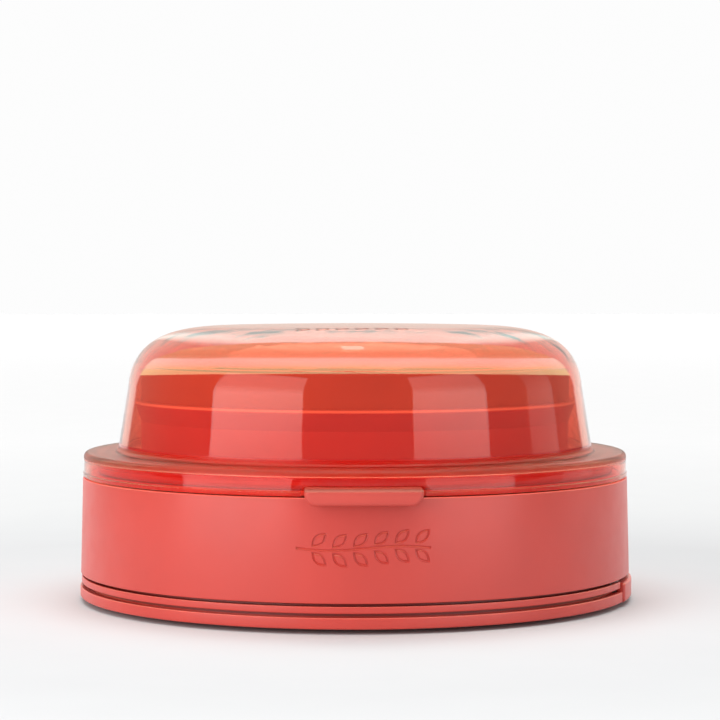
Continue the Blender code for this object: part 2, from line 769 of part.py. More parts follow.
def make_drawer(body):
    tray = drawer_block(
        DRAWER_FRONT_RADIUS, DRAWER_BACK, DRAWER_HALF_WIDTH, DRAWER_BOTTOM, DRAWER_TOP
    )
    add_part(tray, "drawer_tray", "white_plastic", body)
    for side in (-1, 1):
        runner = box_between(
            side,
            RUNNER_BACK,
            RUNNER_FRONT,
            DRAWER_HALF_WIDTH - SUNK,
            DRAWER_HALF_WIDTH + RUNNER_WIDTH,
            RUNNER_BOTTOM,
            RUNNER_TOP,
        )
        boolean(tray, add_cutter(runner, "runner"), "UNION")
    hollow = drawer_block(
        DRAWER_FRONT_RADIUS - DRAWER_WALL,
        DRAWER_BACK + DRAWER_WALL,
        DRAWER_HALF_WIDTH - DRAWER_WALL,
        DRAWER_FLOOR,
        DRAWER_TOP + PAST,
    )
    boolean(tray, add_cutter(hollow, "drawer_hollow"), "DIFFERENCE")


def make_drawer_face(body):
    half = DOOR_HALF_WIDTH - CLEAR
    face = turned(
        rounded(
            [
                (FACE_INNER, FACE_TOP),
                (FACE_OUTER, FACE_TOP, EDGE),
                (FACE_OUTER, BASE_BOTTOM, EDGE),
                (FACE_INNER, BASE_BOTTOM),
            ]
        )
    )
    add_part(face, "drawer_front", "matte_coral", body)
    sector = door_sector(half, BASE_BOTTOM - PAST, FACE_TOP + PAST)
    boolean(face, add_cutter(sector, "face_sector"), "INTERSECT")


def make_fork(body):
    """A flat fork whose head points to +X, with slots between its tines."""
    tip = CUTLERY_LENGTH / 2
    neck = tip - FORK_HEAD_LENGTH
    half_head = FORK_HEAD_WIDTH / 2
    side = [
        (-tip, CUTLERY_HANDLE / 2, 4.0),
        (neck - FORK_SHOULDER, CUTLERY_NECK / 2, 20.0),
        (neck, half_head, 10.0),
        (tip, half_head - FORK_TAPER, 7.0),
    ]
    outline = [(x, FORK_Y - y, fillet) for x, y, fillet in side]
    outline += [(x, FORK_Y + y, fillet) for x, y, fillet in reversed(side)]
    fork = prism(outline, CUTLERY_BOTTOM, CUTLERY_BOTTOM + STEEL, False)
    add_part(fork, "fork", "steel", body)
    pitch = FORK_HEAD_WIDTH / FORK_TINES
    half = FORK_SLOT_WIDTH / 2
    for index in range(1, FORK_TINES):
        y = FORK_Y + (index - FORK_TINES / 2) * pitch
        slot = prism(
            [
                (tip - FORK_SLOT_LENGTH, y - half, half - 0.1),
                (tip + PAST, y - half),
                (tip + PAST, y + half),
                (tip - FORK_SLOT_LENGTH, y + half, half - 0.1),
            ],
            CUTLERY_BOTTOM - PAST,
            CUTLERY_BOTTOM + STEEL + PAST,
            False,
        )
        boolean(fork, add_cutter(slot, "fork_slot"), "DIFFERENCE")


def ellipsoid(centre, semi_axes):
    bpy.ops.mesh.primitive_uv_sphere_add(segments=24, ring_count=12, radius=1)
    obj = bpy.context.object
    obj.data.transform(Matrix.Diagonal(Vector(semi_axes) * MM).to_4x4())
    obj.location = Vector(centre) * MM
    return obj


def make_spoon(body):
    """A flat handle at the rim's height, joined to a dished oval."""
    rim = CUTLERY_BOTTOM + SPOON_DEPTH
    tip = -CUTLERY_LENGTH / 2
    centre = (tip + SPOON_LENGTH / 2, SPOON_Y, rim)
    half_axes = Vector((SPOON_LENGTH / 2, SPOON_WIDTH / 2, SPOON_DEPTH))
    bowl = ellipsoid(centre, half_axes)
    hollow = ellipsoid(centre, half_axes - Vector((STEEL, STEEL, STEEL)))
    side = [(tip + SPOON_LENGTH - SPOON_OVERLAP, CUTLERY_NECK / 2, EDGE)]
    side.append((-tip, CUTLERY_HANDLE / 2, 4.0))
    outline = [(x, SPOON_Y - y, fillet) for x, y, fillet in side]
    outline += [(x, SPOON_Y + y, fillet) for x, y, fillet in reversed(side)]
    handle = prism(outline, rim - STEEL, rim, False)
    above = box(
        (tip - PAST, SPOON_Y - SPOON_WIDTH, rim), (-tip + PAST, SPOON_Y + SPOON_WIDTH, rim + SPOON_WIDTH)
    )
    add_part(bowl, "spoon", "steel", body)
    boolean(bowl, add_cutter(handle, "spoon_handle"), "UNION")
    boolean(bowl, add_cutter(hollow, "spoon_hollow"), "DIFFERENCE")
    boolean(bowl, add_cutter(above, "spoon_above"), "DIFFERENCE")


def main():
    case = empty("case", (0, 0, 0))
    bowl_lift = empty("bowl_lift", (0, 0, BOWL_BOTTOM))
    divider_lift = empty("bowl_divider_lift", (0, 0, BOWL_BOTTOM))
    lid_lift = empty("inner_lid_lift", (0, 0, PLATE_BOTTOM))
    vent_lift = empty("vent_lift", (0, VENT_Y, PLATE_TOP))
    tray_lift = empty("tray_lift", (0, 0, TRAY_BOTTOM))
    tray_divider_lift = empty("tray_divider_lift", (0, 0, TRAY_BOTTOM))
    dome_lift = empty("dome_lift", (0, 0, SKIRT_BOTTOM))
    drawer_slide = empty("drawer_slide", (0, 0, DRAWER_BOTTOM))

    make_pad(case)
    make_base(case)
    make_band(case)
    make_shell(case)
    make_screws(case)
    make_rail(case, -1, "drawer_rail_front")
    make_rail(case, 1, "drawer_rail_rear")

    make_bowl(bowl_lift)
    make_bowl_divider(divider_lift)
    make_inner_lid(lid_lift)
    make_inner_seal(lid_lift)
    make_vent(vent_lift)
    make_tray(tray_lift)
    make_tray_divider(tray_divider_lift)
    make_dome(dome_lift)
    make_dome_seal(dome_lift)

    make_drawer(drawer_slide)
    make_drawer_face(drawer_slide)
    make_fork(drawer_slide)
    make_spoon(drawer_slide)


clear_scene()
PARTS = new_collection("lunch_box")
CUTTERS = new_collection("cutters")
main()
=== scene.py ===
"""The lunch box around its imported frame: fine turned shells, cutlery, materials, light.

Lengths are in millimetres and MM turns them into metres. Outlines are corners
(radius, height) or (radius, height, fillet) and run clockwise, outwards along the top
and down the outer side.
"""

import math

import bmesh
import bpy
from mathutils import Matrix, Vector


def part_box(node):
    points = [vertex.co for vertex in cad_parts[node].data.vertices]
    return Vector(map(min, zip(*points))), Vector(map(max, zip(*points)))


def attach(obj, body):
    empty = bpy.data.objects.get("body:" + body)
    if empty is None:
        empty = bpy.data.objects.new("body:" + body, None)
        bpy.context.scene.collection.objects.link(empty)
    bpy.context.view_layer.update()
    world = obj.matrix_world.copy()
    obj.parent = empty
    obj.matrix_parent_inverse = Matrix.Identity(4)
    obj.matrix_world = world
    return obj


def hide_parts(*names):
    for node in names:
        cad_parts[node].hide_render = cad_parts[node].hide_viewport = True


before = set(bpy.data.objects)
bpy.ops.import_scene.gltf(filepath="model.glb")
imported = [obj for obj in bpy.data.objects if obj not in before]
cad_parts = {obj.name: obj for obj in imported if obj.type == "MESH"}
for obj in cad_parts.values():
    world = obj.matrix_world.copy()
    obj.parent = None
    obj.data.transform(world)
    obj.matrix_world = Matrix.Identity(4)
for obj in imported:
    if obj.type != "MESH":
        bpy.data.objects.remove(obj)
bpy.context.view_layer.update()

MM = 0.001
ROUND_STEPS = 240
FILLET_STEPS = 6
SHARP_ANGLE = math.radians(32)


# ---------------------------------------------------------------- sizes from the frame

def box_mm(node):
    low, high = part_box(node)
    return Vector(low) / MM, Vector(high) / MM


SHELL_LOW, SHELL_HIGH = box_mm("outer_shell")
BASE_LOW, BASE_HIGH = box_mm("base_cover")
BAND_LOW, BAND_HIGH = box_mm("trim_band")
PAD_HIGH = box_mm("foot_pad")[1]
BOWL_LOW, BOWL_HIGH = box_mm("food_bowl")
PLATE_LOW = box_mm("inner_lid")[0]
SEAL_LOW, SEAL_HIGH = box_mm("inner_lid_gasket")
VENT_LOW, VENT_HIGH = box_mm("vent_plug")
TRAY_LOW, TRAY_HIGH = box_mm("upper_tray")
DOME_LOW, DOME_HIGH = box_mm("dome_lid")
DOME_SEAL_LOW, DOME_SEAL_HIGH = box_mm("dome_gasket")
FACE_LOW, FACE_HIGH = box_mm("drawer_front")
FORK_LOW, FORK_HIGH = box_mm("fork")
SPOON_LOW, SPOON_HIGH = box_mm("spoon")

BASE_RADIUS = BASE_HIGH.y
BAND_RADIUS = BAND_HIGH.y
SHELL_FOOT_RADIUS = SHELL_HIGH.x
SHELL_RADIUS = SHELL_FOOT_RADIUS - 0.8
SHELL_BOTTOM = 9.5
DOME_TOP = DOME_HIGH.z
SKIRT_RADIUS = DOME_HIGH.x
SKIRT_BOTTOM = DOME_LOW.z
TAB_REACH = -PLATE_LOW.y
DOOR_HALF_WIDTH = FACE_HIGH.y + 0.3


# ------------------------------------------------------------------------ mesh helpers

def rounded(corners):
    """An outline's corners, with each one that names a fillet turned into an arc."""
    points = []
    for index, corner in enumerate(corners):
        here = Vector(corner[:2])
        if len(corner) == 2:
            points.append(here)
            continue
        back = (Vector(corners[index - 1][:2]) - here).normalized()
        ahead = (Vector(corners[(index + 1) % len(corners)][:2]) - here).normalized()
        half = back.angle(ahead) / 2
        centre = here + (back + ahead).normalized() * corner[2] / math.sin(half)
        start = here + back * corner[2] / math.tan(half) - centre
        end = here + ahead * corner[2] / math.tan(half) - centre
        sweep = start.angle_signed(end)
        first = math.atan2(start.y, start.x)
        for step in range(FILLET_STEPS + 1):
            angle = first - sweep * step / FILLET_STEPS
            points.append(centre + corner[2] * Vector((math.cos(angle), math.sin(angle))))
    return points


def link(name, mesh):
    obj = bpy.data.objects.new(name, mesh)
    bpy.context.scene.collection.objects.link(obj)
    return obj


def finish_mesh(obj):
    """Outward faces, smooth shading and sharp edges where the shape turns hard."""
    mesh = obj.data
    work = bmesh.new()
    work.from_mesh(mesh)
    bmesh.ops.remove_doubles(work, verts=work.verts, dist=0.000001)
    bmesh.ops.recalc_face_normals(work, faces=work.faces)
    work.to_mesh(mesh)
    work.free()
    mesh.shade_smooth()
    mesh.set_sharp_from_angle(angle=SHARP_ANGLE)
    return obj


def turned(name, points, steps=ROUND_STEPS, centre=(0, 0)):
    """Turns an outline round the vertical line through centre."""
    work = bmesh.new()
    rings = []
    for point in points:
        if abs(point[0]) < 1e-6:
            middle = work.verts.new((centre[0] * MM, centre[1] * MM, point[1] * MM))
            rings.append([middle] * steps)
            continue
        ring = []
        for step in range(steps):
            angle = 2 * math.pi * step / steps
            x = centre[0] + point[0] * math.cos(angle)
            y = centre[1] + point[0] * math.sin(angle)
            ring.append(work.verts.new((x * MM, y * MM, point[1] * MM)))
        rings.append(ring)
    closed = abs(points[0][0]) > 1e-6
    last = len(rings) if closed else len(rings) - 1
    for index in range(last):
        upper, lower = rings[index], rings[(index + 1) % len(rings)]
        for step in range(steps):
            after = (step + 1) % steps
            corners = [upper[step], lower[step], lower[after], upper[after]]
            work.faces.new(list(dict.fromkeys(corners)))
    mesh = bpy.data.meshes.new(name)
    work.to_mesh(mesh)
    work.free()
    return finish_mesh(link(name, mesh))


def loft(name, sections):
    """A closed skin over sections that have equally many points, with flat ends."""
    work = bmesh.new()
    rings = [[work.verts.new(Vector(point) * MM) for point in section] for section in sections]
    count = len(rings[0])
    for before, after in zip(rings, rings[1:]):
        for index in range(count):
            following = (index + 1) % count
            corners = [before[index], before[following], after[following], after[index]]
            work.faces.new(corners)
    work.faces.new(rings[0])
    work.faces.new(rings[-1])
    mesh = bpy.data.meshes.new(name)
    work.to_mesh(mesh)
    work.free()
    return finish_mesh(link(name, mesh))


def arc_run(name, points, start, end, end_round, steps):
    """A turned outline from angle start to angle end, whose ends are rounded over."""
    middle = sum((Vector(p) for p in points), Vector((0, 0))) / len(points)
    radius = max(p[0] for p in points)
    half_size = min(
        (max(p[0] for p in points) - min(p[0] for p in points)) / 2,
        (max(p[1] for p in points) - min(p[1] for p in points)) / 2,
    )
    turn = end_round / radius
    angles = [start + turn * (1 - math.cos(math.pi / 2 * k / 5)) for k in range(6)]
    angles += [start + turn + (end - start - 2 * turn) * k / steps for k in range(1, steps)]
    angles += [end - turn * (1 - math.cos(math.pi / 2 * k / 5)) for k in range(5, -1, -1)]
    sections = []
    for angle in angles:
        reach = min(angle - start, end - angle) * radius
        inset = 0.0
        if reach < end_round:
            inset = end_round - math.sqrt(end_round**2 - (end_round - reach) ** 2)
        shrink = 1 - 0.8 * inset / half_size
        section = []
        for point in points:
            place = middle + (Vector(point) - middle) * shrink
            section.append((place.x * math.cos(angle), place.x * math.sin(angle), place.y))
        sections.append(section)
    return loft(name, sections)


def block(name, low, high):
    bpy.ops.mesh.primitive_cube_add(size=1)
    obj = bpy.context.object
    obj.name = name
    low, high = Vector(low), Vector(high)
    obj.data.transform(Matrix.Diagonal((high - low) * MM).to_4x4())
    obj.data.transform(Matrix.Translation((low + high) / 2 * MM))
    return obj


def carve(obj, cutters, operation="DIFFERENCE"):
    """Cuts or joins closed shapes with obj, then drops them."""
    for cutter in cutters:
        modifier = obj.modifiers.new("carve", "BOOLEAN")
        modifier.operation = operation
        modifier.object = cutter
        modifier.solver = "EXACT"
    bpy.context.view_layer.update()
    graph = bpy.context.evaluated_depsgraph_get()
    mesh = bpy.data.meshes.new_from_object(obj.evaluated_get(graph))
    obj.modifiers.clear()
    obj.data = mesh
    for cutter in cutters:
        bpy.data.objects.remove(cutter, do_unlink=True)
    return finish_mesh(obj)


def wires(name, strokes, radius):
    """Round wires along strokes, as one mesh. A stroke is (points, closed)."""
    curve = bpy.data.curves.new(name, "CURVE")
    curve.dimensions = "3D"
    curve.bevel_depth = radius * MM
    curve.bevel_resolution = 2
    curve.use_fill_caps = True
    for points, closed in strokes:
        spline = curve.splines.new("POLY")
        spline.points.add(len(points) - 1)
        for target, point in zip(spline.points, points):
            target.co = (Vector(point) * MM).to_4d()
        spline.use_cyclic_u = closed
    obj = link(name, curve)
    bpy.context.view_layer.update()
    graph = bpy.context.evaluated_depsgraph_get()
    mesh = bpy.data.meshes.new_from_object(obj.evaluated_get(graph))
    bpy.data.objects.remove(obj, do_unlink=True)
    return finish_mesh(link(name, mesh))


# ----------------------------------------------------------------------------- the mark

MARK_WIRE = 0.42

def sprig_strokes():
    """A leafy sprig, 44 mm long and 11 mm high, as flat strokes about its middle."""
    half_length, leaf_length, leaf_width, pairs = 21.0, 5.6, 1.35, 6
    stem = []
    for step in range(25):
        u = -half_length + 2 * half_length * step / 24
        stem.append((u, 0.7 * math.sin(u / half_length * math.pi)))
    strokes = [(stem, False)]
    for pair in range(pairs):
        u = -half_length + 4.0 + pair * 6.4
        v = 0.7 * math.sin(u / half_length * math.pi)
        for side in (-1, 1):
            lean = math.radians(42) * side
            along = Vector((math.cos(lean), math.sin(lean)))
            across = Vector((-along.y, along.x))
            root = Vector((u, v)) + along * 1.6
            leaf = []
            for step in range(20):
                t = step / 10
                s = t if t <= 1 else 2 - t
                swell = math.sin(math.pi * s) * leaf_width * (1 if t <= 1 else -1)
                leaf.append(root + along * leaf_length * s + across * swell)
            strokes.append((leaf, True))
    return strokes


def on_drum(strokes, middle_x, middle_z, depth):
    """Lays flat strokes on the front of the drum, sunk by depth."""
    placed = []
    for points, closed in strokes:
        spots = []
        for u, v in points:
            z = middle_z + v
            share = (z - SHELL_BOTTOM) / (SHELL_HIGH.z - SHELL_BOTTOM)
            radius = SHELL_FOOT_RADIUS + (SHELL_RADIUS - SHELL_FOOT_RADIUS) * share - depth
            angle = (middle_x + u) / radius
            spots.append((radius * math.sin(angle), -radius * math.cos(angle), z))
        placed.append((spots, closed))
    return placed


def on_crown(strokes, middle_y, depth):
    """Lays flat strokes on the dome's crown, turned half round, sunk by depth."""
    placed = []
    for points, closed in strokes:
        spots = []
        for u, v in points:
            x, y = -u, middle_y - v
            spots.append((x, y, crown_height(math.hypot(x, y)) - depth))
        placed.append((spots, closed))
    return placed


# ---------------------------------------------------------------------------- the dome

CROWN_EDGE = Vector((50.0, 92.9))
CROWN_HANDLE = Vector((69.0, 91.9))
SHOULDER_HANDLE = Vector((76.8, 84.5))
SHOULDER_FOOT = Vector((77.7, 72.0))
DOME_WALL = 2.0
DOME_FOOT_RADIUS = 81.2
FLANGE_TOP = 50.5
FLANGE_BOTTOM = 48.3


def cubic(start, first, second, end, steps):
    """Points along a cubic curve, without its start."""
    points = []
    for step in range(1, steps + 1):
        t = step / steps
        points.append(
            (1 - t) ** 3 * Vector(start)
            + 3 * t * (1 - t) ** 2 * Vector(first)
            + 3 * t**2 * (1 - t) * Vector(second)
            + t**3 * Vector(end)
        )
    return points


def dome_curve():
    """The outside of the dome from the middle of its crown down to its foot."""
    points = [Vector((0, DOME_TOP))]
    points += cubic((0, DOME_TOP), (18, DOME_TOP), (34, DOME_TOP - 0.1), CROWN_EDGE, 16)
    points += cubic(CROWN_EDGE, CROWN_HANDLE, SHOULDER_HANDLE, SHOULDER_FOOT, 36)
    return points


def crown_height(radius):
    """The height of the dome's outside at a distance from its axis."""
    curve = dome_curve()
    for upper, lower in zip(curve, curve[1:]):
        if lower.x >= radius:
            share = (radius - upper.x) / (lower.x - upper.x)
            return upper.y + (lower.y - upper.y) * share
    return curve[-1].y


def pushed_in(points, distance):
    """The same curve, moved inwards by a wall's thickness."""
    moved = []
    for index, point in enumerate(points):
        before = points[max(index - 1, 0)]
        after = points[min(index + 1, len(points) - 1)]
        along = (after - before).normalized()
        moved.append(point + Vector((along.y, -along.x)) * distance)
    moved[0].x = 0
    return moved


def build_dome():
    outside = dome_curve()
    inside = pushed_in(outside, DOME_WALL)
    bead, fillet, rib_bottom = 0.35, 1.6, 46.5
    foot = [
        (DOME_FOOT_RADIUS, FLANGE_TOP, fillet),
        (SKIRT_RADIUS - bead, FLANGE_TOP, fillet),
        (SKIRT_RADIUS - bead, SKIRT_BOTTOM + 1.5, 0.2),
        (SKIRT_RADIUS, SKIRT_BOTTOM + 1.2, 0.2),
        (SKIRT_RADIUS, SKIRT_BOTTOM, 0.35),
        (90.8, SKIRT_BOTTOM, 0.3),
        (90.8, FLANGE_BOTTOM, 0.8),
    ]
    for outer, inner in ((89.5, 88.5), (85.0, 84.0)):
        foot += [
            (outer, FLANGE_BOTTOM, 0.2),
            (outer, rib_bottom, 0.3),
            (inner, rib_bottom, 0.3),
            (inner, FLANGE_BOTTOM, 0.2),
        ]
    foot.append((DOME_FOOT_RADIUS - DOME_WALL, FLANGE_BOTTOM, 0.8))
    corners = [tuple(point) for point in outside] + foot
    corners += [tuple(point) for point in reversed(inside)]
    dome = turned("dome_clear_lid", rounded(corners))
    carve(dome, [tab_notch()])
    mark = wires("crown_mark", on_crown(sprig_strokes(), -46.0, 0.05), MARK_WIRE)
    carve(dome, [mark])
    return dome


def tab_notch():
    """The gap in the skirt that the pull tab passes through."""
    half, top, corner = TAB_HALF_WIDTH + 1.0, TAB_TOP + 0.5, 1.6
    outline = rounded(
        [
            (-half, top, corner),
            (half, top, corner),
            (half, SKIRT_BOTTOM - 3),
            (-half, SKIRT_BOTTOM - 3),
        ]
    )
    sections = [[(p.x, y, p.y) for p in outline] for y in (-98, -86)]
    return loft("notch", sections)


# ------------------------------------------------------------------- the drum and base

NECK_RADIUS = 90.6
NECK_TOP_LIP = 8.5
RIM_DROP = 0.5  # how far the top of the band and of the base's lip fall towards the neck
HOOK_RADIUS = 0.6
HOOK_HEIGHT = 6.65
BASE_INNER_RADIUS = 87.0
SHELL_HOOK_INNER = 84.4
SHELL_HOOK_OUTER = 86.7
PAD_RECESS_RADIUS = 74.3
PAD_RECESS_HEIGHT = 2.2


def build_shell():
    outline = [
        (0, 11.7),
        (90.8, 11.7, 1.5),
        (90.8, 39.7),
        (91.8, 39.7),
        (91.8, SHELL_HIGH.z, 0.3),
        (SHELL_RADIUS, SHELL_HIGH.z, 0.45),
        (SHELL_FOOT_RADIUS, SHELL_BOTTOM, 0.35),
        (SHELL_HOOK_OUTER, SHELL_BOTTOM),
        (SHELL_HOOK_OUTER, HOOK_HEIGHT + HOOK_RADIUS),
        (SHELL_HOOK_OUTER + HOOK_RADIUS, HOOK_HEIGHT),
        (SHELL_HOOK_OUTER, HOOK_HEIGHT - HOOK_RADIUS),
        (SHELL_HOOK_OUTER, SHELL_LOW.z),
        (SHELL_HOOK_INNER, SHELL_LOW.z),
        (SHELL_HOOK_INNER, SHELL_BOTTOM),
        (0, SHELL_BOTTOM),
    ]
    shell = turned("shell_drum", rounded(outline))
    lintel = SHELL_BOTTOM + 0.2
    doorway = block("doorway", (60, -DOOR_HALF_WIDTH, 0), (100, DOOR_HALF_WIDTH, lintel))
    mark = wires("drum_mark", on_drum(sprig_strokes(), 0.0, 26.6, 0.05), MARK_WIRE)
    carve(shell, [doorway, mark])
    return shell


def build_base():
    outline = [
        (0, 3.5),
        (BASE_INNER_RADIUS, 3.5),
        (BASE_INNER_RADIUS, HOOK_HEIGHT - 0.9),
        (BASE_INNER_RADIUS + HOOK_RADIUS, HOOK_HEIGHT - 0.3),
        (BASE_INNER_RADIUS + HOOK_RADIUS, HOOK_HEIGHT + 0.3),
        (BASE_INNER_RADIUS, HOOK_HEIGHT + 0.9),
        (BASE_INNER_RADIUS, BASE_HIGH.z),
        (NECK_RADIUS, BASE_HIGH.z, 0.3),
        (NECK_RADIUS, NECK_TOP_LIP),
        (90.0, NECK_TOP_LIP),
        (90.0, 6.6),
        (NECK_RADIUS, 6.6),
        (NECK_RADIUS, 5.3 - RIM_DROP),
        (BASE_RADIUS, 5.3, 0.4),
        (BASE_RADIUS, BASE_LOW.z, 0.6),
        (PAD_RECESS_RADIUS, BASE_LOW.z, 0.3),
        (PAD_RECESS_RADIUS, PAD_RECESS_HEIGHT),
        (0, PAD_RECESS_HEIGHT),
    ]
    base = turned("base_dish", rounded(outline))
    doorway = block("doorway", (70, -DOOR_HALF_WIDTH, 3.3), (100, DOOR_HALF_WIDTH, 12))
    sill = turned("sill", [Vector(p) for p in ((100, 4), (100, 1), (91.3, 1), (91.3, 4))])
    sector = block("sector", (50, -DOOR_HALF_WIDTH, 0), (110, DOOR_HALF_WIDTH, 5))
    carve(sill, [sector], "INTERSECT")
    carve(base, [doorway, sill])
    return base


def build_band():
    inner = NECK_RADIUS + 0.2
    outline = [
        (inner, BAND_HIGH.z - RIM_DROP, 0.2),
        (BAND_RADIUS, BAND_HIGH.z, 0.35),
        (BAND_RADIUS, BAND_LOW.z, 0.35),
        (inner, BAND_LOW.z, 0.3),
    ]
    gap = math.asin((DOOR_HALF_WIDTH + 0.3) / BAND_RADIUS)
    return arc_run("band_ring", rounded(outline), gap, 2 * math.pi - gap, 0.9, 220)


def build_drawer_face():
    outline = [
        (91.6, FACE_HIGH.z, 0.3),
        (FACE_HIGH.x, FACE_HIGH.z, 0.8),
        (FACE_HIGH.x, FACE_LOW.z, 0.8),
        (91.6, FACE_LOW.z, 0.3),
    ]
    half = math.asin(FACE_HIGH.y / FACE_HIGH.x)
    return arc_run("drawer_face", rounded(outline), -half, half, 0.9, 36)


def build_pad():
    outline = [(0, PAD_HIGH.z), (PAD_HIGH.x, PAD_HIGH.z, 0.2), (PAD_HIGH.x, 0, 0.5)]
    for ring in range(5):
        radius = 66.0 - ring * 11.0
        outline += [(radius, 0), (radius - 0.8, 0.7), (radius - 1.6, 0.7), (radius - 2.4, 0)]
    outline.append((0, 0))
    return turned("pad_disc", rounded(outline))


# ------------------------------------------------------------------ bowls, plate, seals

def build_bowl():
    wall = 1.6
    outline = [
        (0, BOWL_LOW.z + wall),
        (82.4, BOWL_LOW.z + wall, 10.4),
        (86.9, BOWL_HIGH.z, 0.5),
        (BOWL_HIGH.x, BOWL_HIGH.z, 0.4),
        (BOWL_HIGH.x, 40.0, 0.3),
        (88.5, 40.0),
        (84.0, BOWL_LOW.z, 12.0),
        (0, BOWL_LOW.z),
    ]
    return turned("bowl_food", rounded(outline))


BEAD_TOP = 67.9


def build_tray():
    """A straight cup whose outside carries one stacking bead below its mouth."""
    wall, radius, bead = 1.6, TRAY_HIGH.x - 2.0, TRAY_HIGH.x
    outline = [
        (0, TRAY_LOW.z + wall),
        (radius - wall, TRAY_LOW.z + wall, 2.4),
        (radius - wall, TRAY_HIGH.z, 0.5),
        (radius, TRAY_HIGH.z, 0.5),
        (radius, BEAD_TOP, 0.3),
        (bead, BEAD_TOP, 0.45),
        (bead, 66.8, 0.2),
        (radius, 61.0, 0.5),
        (radius, TRAY_LOW.z, 4.0),
        (0, TRAY_LOW.z),
    ]
    return turned("tray_dish", rounded(outline))


TAB_TOP = 45.2
TAB_BOTTOM = 40.0
TAB_NECK_BOTTOM = 42.3
TAB_HALF_WIDTH = 18.3


def tab_section(radius, bottom, inset):
    """The tab seen from the front at one distance from the axis."""
    half, top, low = TAB_HALF_WIDTH - inset, TAB_TOP - inset, TAB_BOTTOM + inset
    outline = rounded(
        [
            (-half, top, 0.9),
            (half, top, 0.9),
            (half, low, 3.8 - inset),
            (-half, low, 3.8 - inset),
        ]
    )
    section = []
    for p in outline:
        section.append((p.x, -math.sqrt(radius**2 - p.x**2), max(p.y, bottom)))
    return section


def build_tab():
    """The pull tab: a boat-shaped block with a rounded nose on a short neck."""
    nose = 1.6
    shoulder = TAB_REACH - nose
    sections = [tab_section(89.3, TAB_NECK_BOTTOM, 0), tab_section(93.75, TAB_NECK_BOTTOM, 0)]
    sections += [tab_section(93.8, TAB_BOTTOM, 0), tab_section(shoulder, TAB_BOTTOM, 0)]
    for step in range(1, 7):
        angle = math.pi / 2 * step / 6
        inset = nose * (1 - math.cos(angle)) * 0.75
        sections.append(tab_section(shoulder + nose * math.sin(angle), TAB_BOTTOM, inset))
    return loft("tab", sections)


PLATE_TOP = 43.9
PLATE_UNDERSIDE = 42.3
VENT_MIDDLE = ((VENT_LOW.x + VENT_HIGH.x) / 2, (VENT_LOW.y + VENT_HIGH.y) / 2)


def build_plate():
    outline = [
        (0, PLATE_TOP),
        (73.7, PLATE_TOP, 0.3),
        (73.7, 45.4, 0.3),
        (74.9, 45.4, 0.3),
        (74.9, PLATE_TOP, 0.3),
        (90.3, PLATE_TOP, 0.3),
        (90.3, PLATE_UNDERSIDE, 0.3),
        (84.6, PLATE_UNDERSIDE),
        (84.6, 39.4),
        (85.5, 39.4),
        (85.5, PLATE_LOW.z, 0.3),
        (82.8, PLATE_LOW.z, 0.3),
        (82.8, PLATE_UNDERSIDE, 0.5),
        (0, PLATE_UNDERSIDE),
    ]
    plate = turned("plate_lid", rounded(outline))
    carve(plate, [build_tab()], "UNION")
    drill = [Vector(p) for p in ((0, 50), (2.0, 50), (2.0, 41), (0, 41))]
    hole = turned("hole", drill, 48, VENT_MIDDLE)
    carve(plate, [hole])
    return plate


def build_seal():
    low, high = SEAL_LOW.z, SEAL_HIGH.z
    outer = SEAL_HIGH.x
    step = (high - low) / 4
    outline = [(84.9, high, 0.1), (outer, high - step / 2, 0.1), (outer - 0.6, high - step)]
    outline += [(outer, high - 2 * step, 0.1), (outer - 0.6, high - 2.6 * step)]
    outline += [(outer, low + step / 2, 0.1), (84.9, low, 0.1)]
    return turned("seal_ring", rounded(outline))


def build_dome_seal():
    low, high = DOME_SEAL_LOW.z, DOME_SEAL_HIGH.z
    outline = [
        (85.3, high, 0.4),
        (DOME_SEAL_HIGH.x, high, 0.4),
        (DOME_SEAL_HIGH.x, low + 1.2, 0.3),
        (DOME_SEAL_HIGH.x - 0.6, low, 0.3),
        (85.9, low, 0.3),
        (85.3, low + 1.2, 0.3),
    ]
    return turned("dome_seal_ring", rounded(outline))


def build_vent():
    outline = [
        (0, VENT_HIGH.z - 0.5),
        (1.5, VENT_HIGH.z - 0.5, 0.4),
        (2.1, VENT_HIGH.z, 0.3),
        (3.5, VENT_HIGH.z, 0.6),
        (3.5, 44.2, 0.4),
        (1.7, 44.2),
        (1.7, 40.2),
        (2.4, 40.2, 0.2),
        (1.7, VENT_LOW.z, 0.3),
        (0, VENT_LOW.z),
    ]
    return turned("vent_button", rounded(outline), 64, VENT_MIDDLE)


# ------------------------------------------------------------------------------ cutlery

def handle_half_width(share):
    """Half the width of a handle from its neck (share 0) to its tail (share 1)."""
    swell = CUTLERY_NECK + (CUTLERY_TAIL - CUTLERY_NECK) * (3 * share**2 - 2 * share**3)
    end = max(0.0, share - 0.94) / 0.06
    return swell * math.sqrt(max(1 - end**2, 0.0))


CUTLERY_NECK = 2.6
CUTLERY_TAIL = 4.5
CUTLERY_STEPS = 90


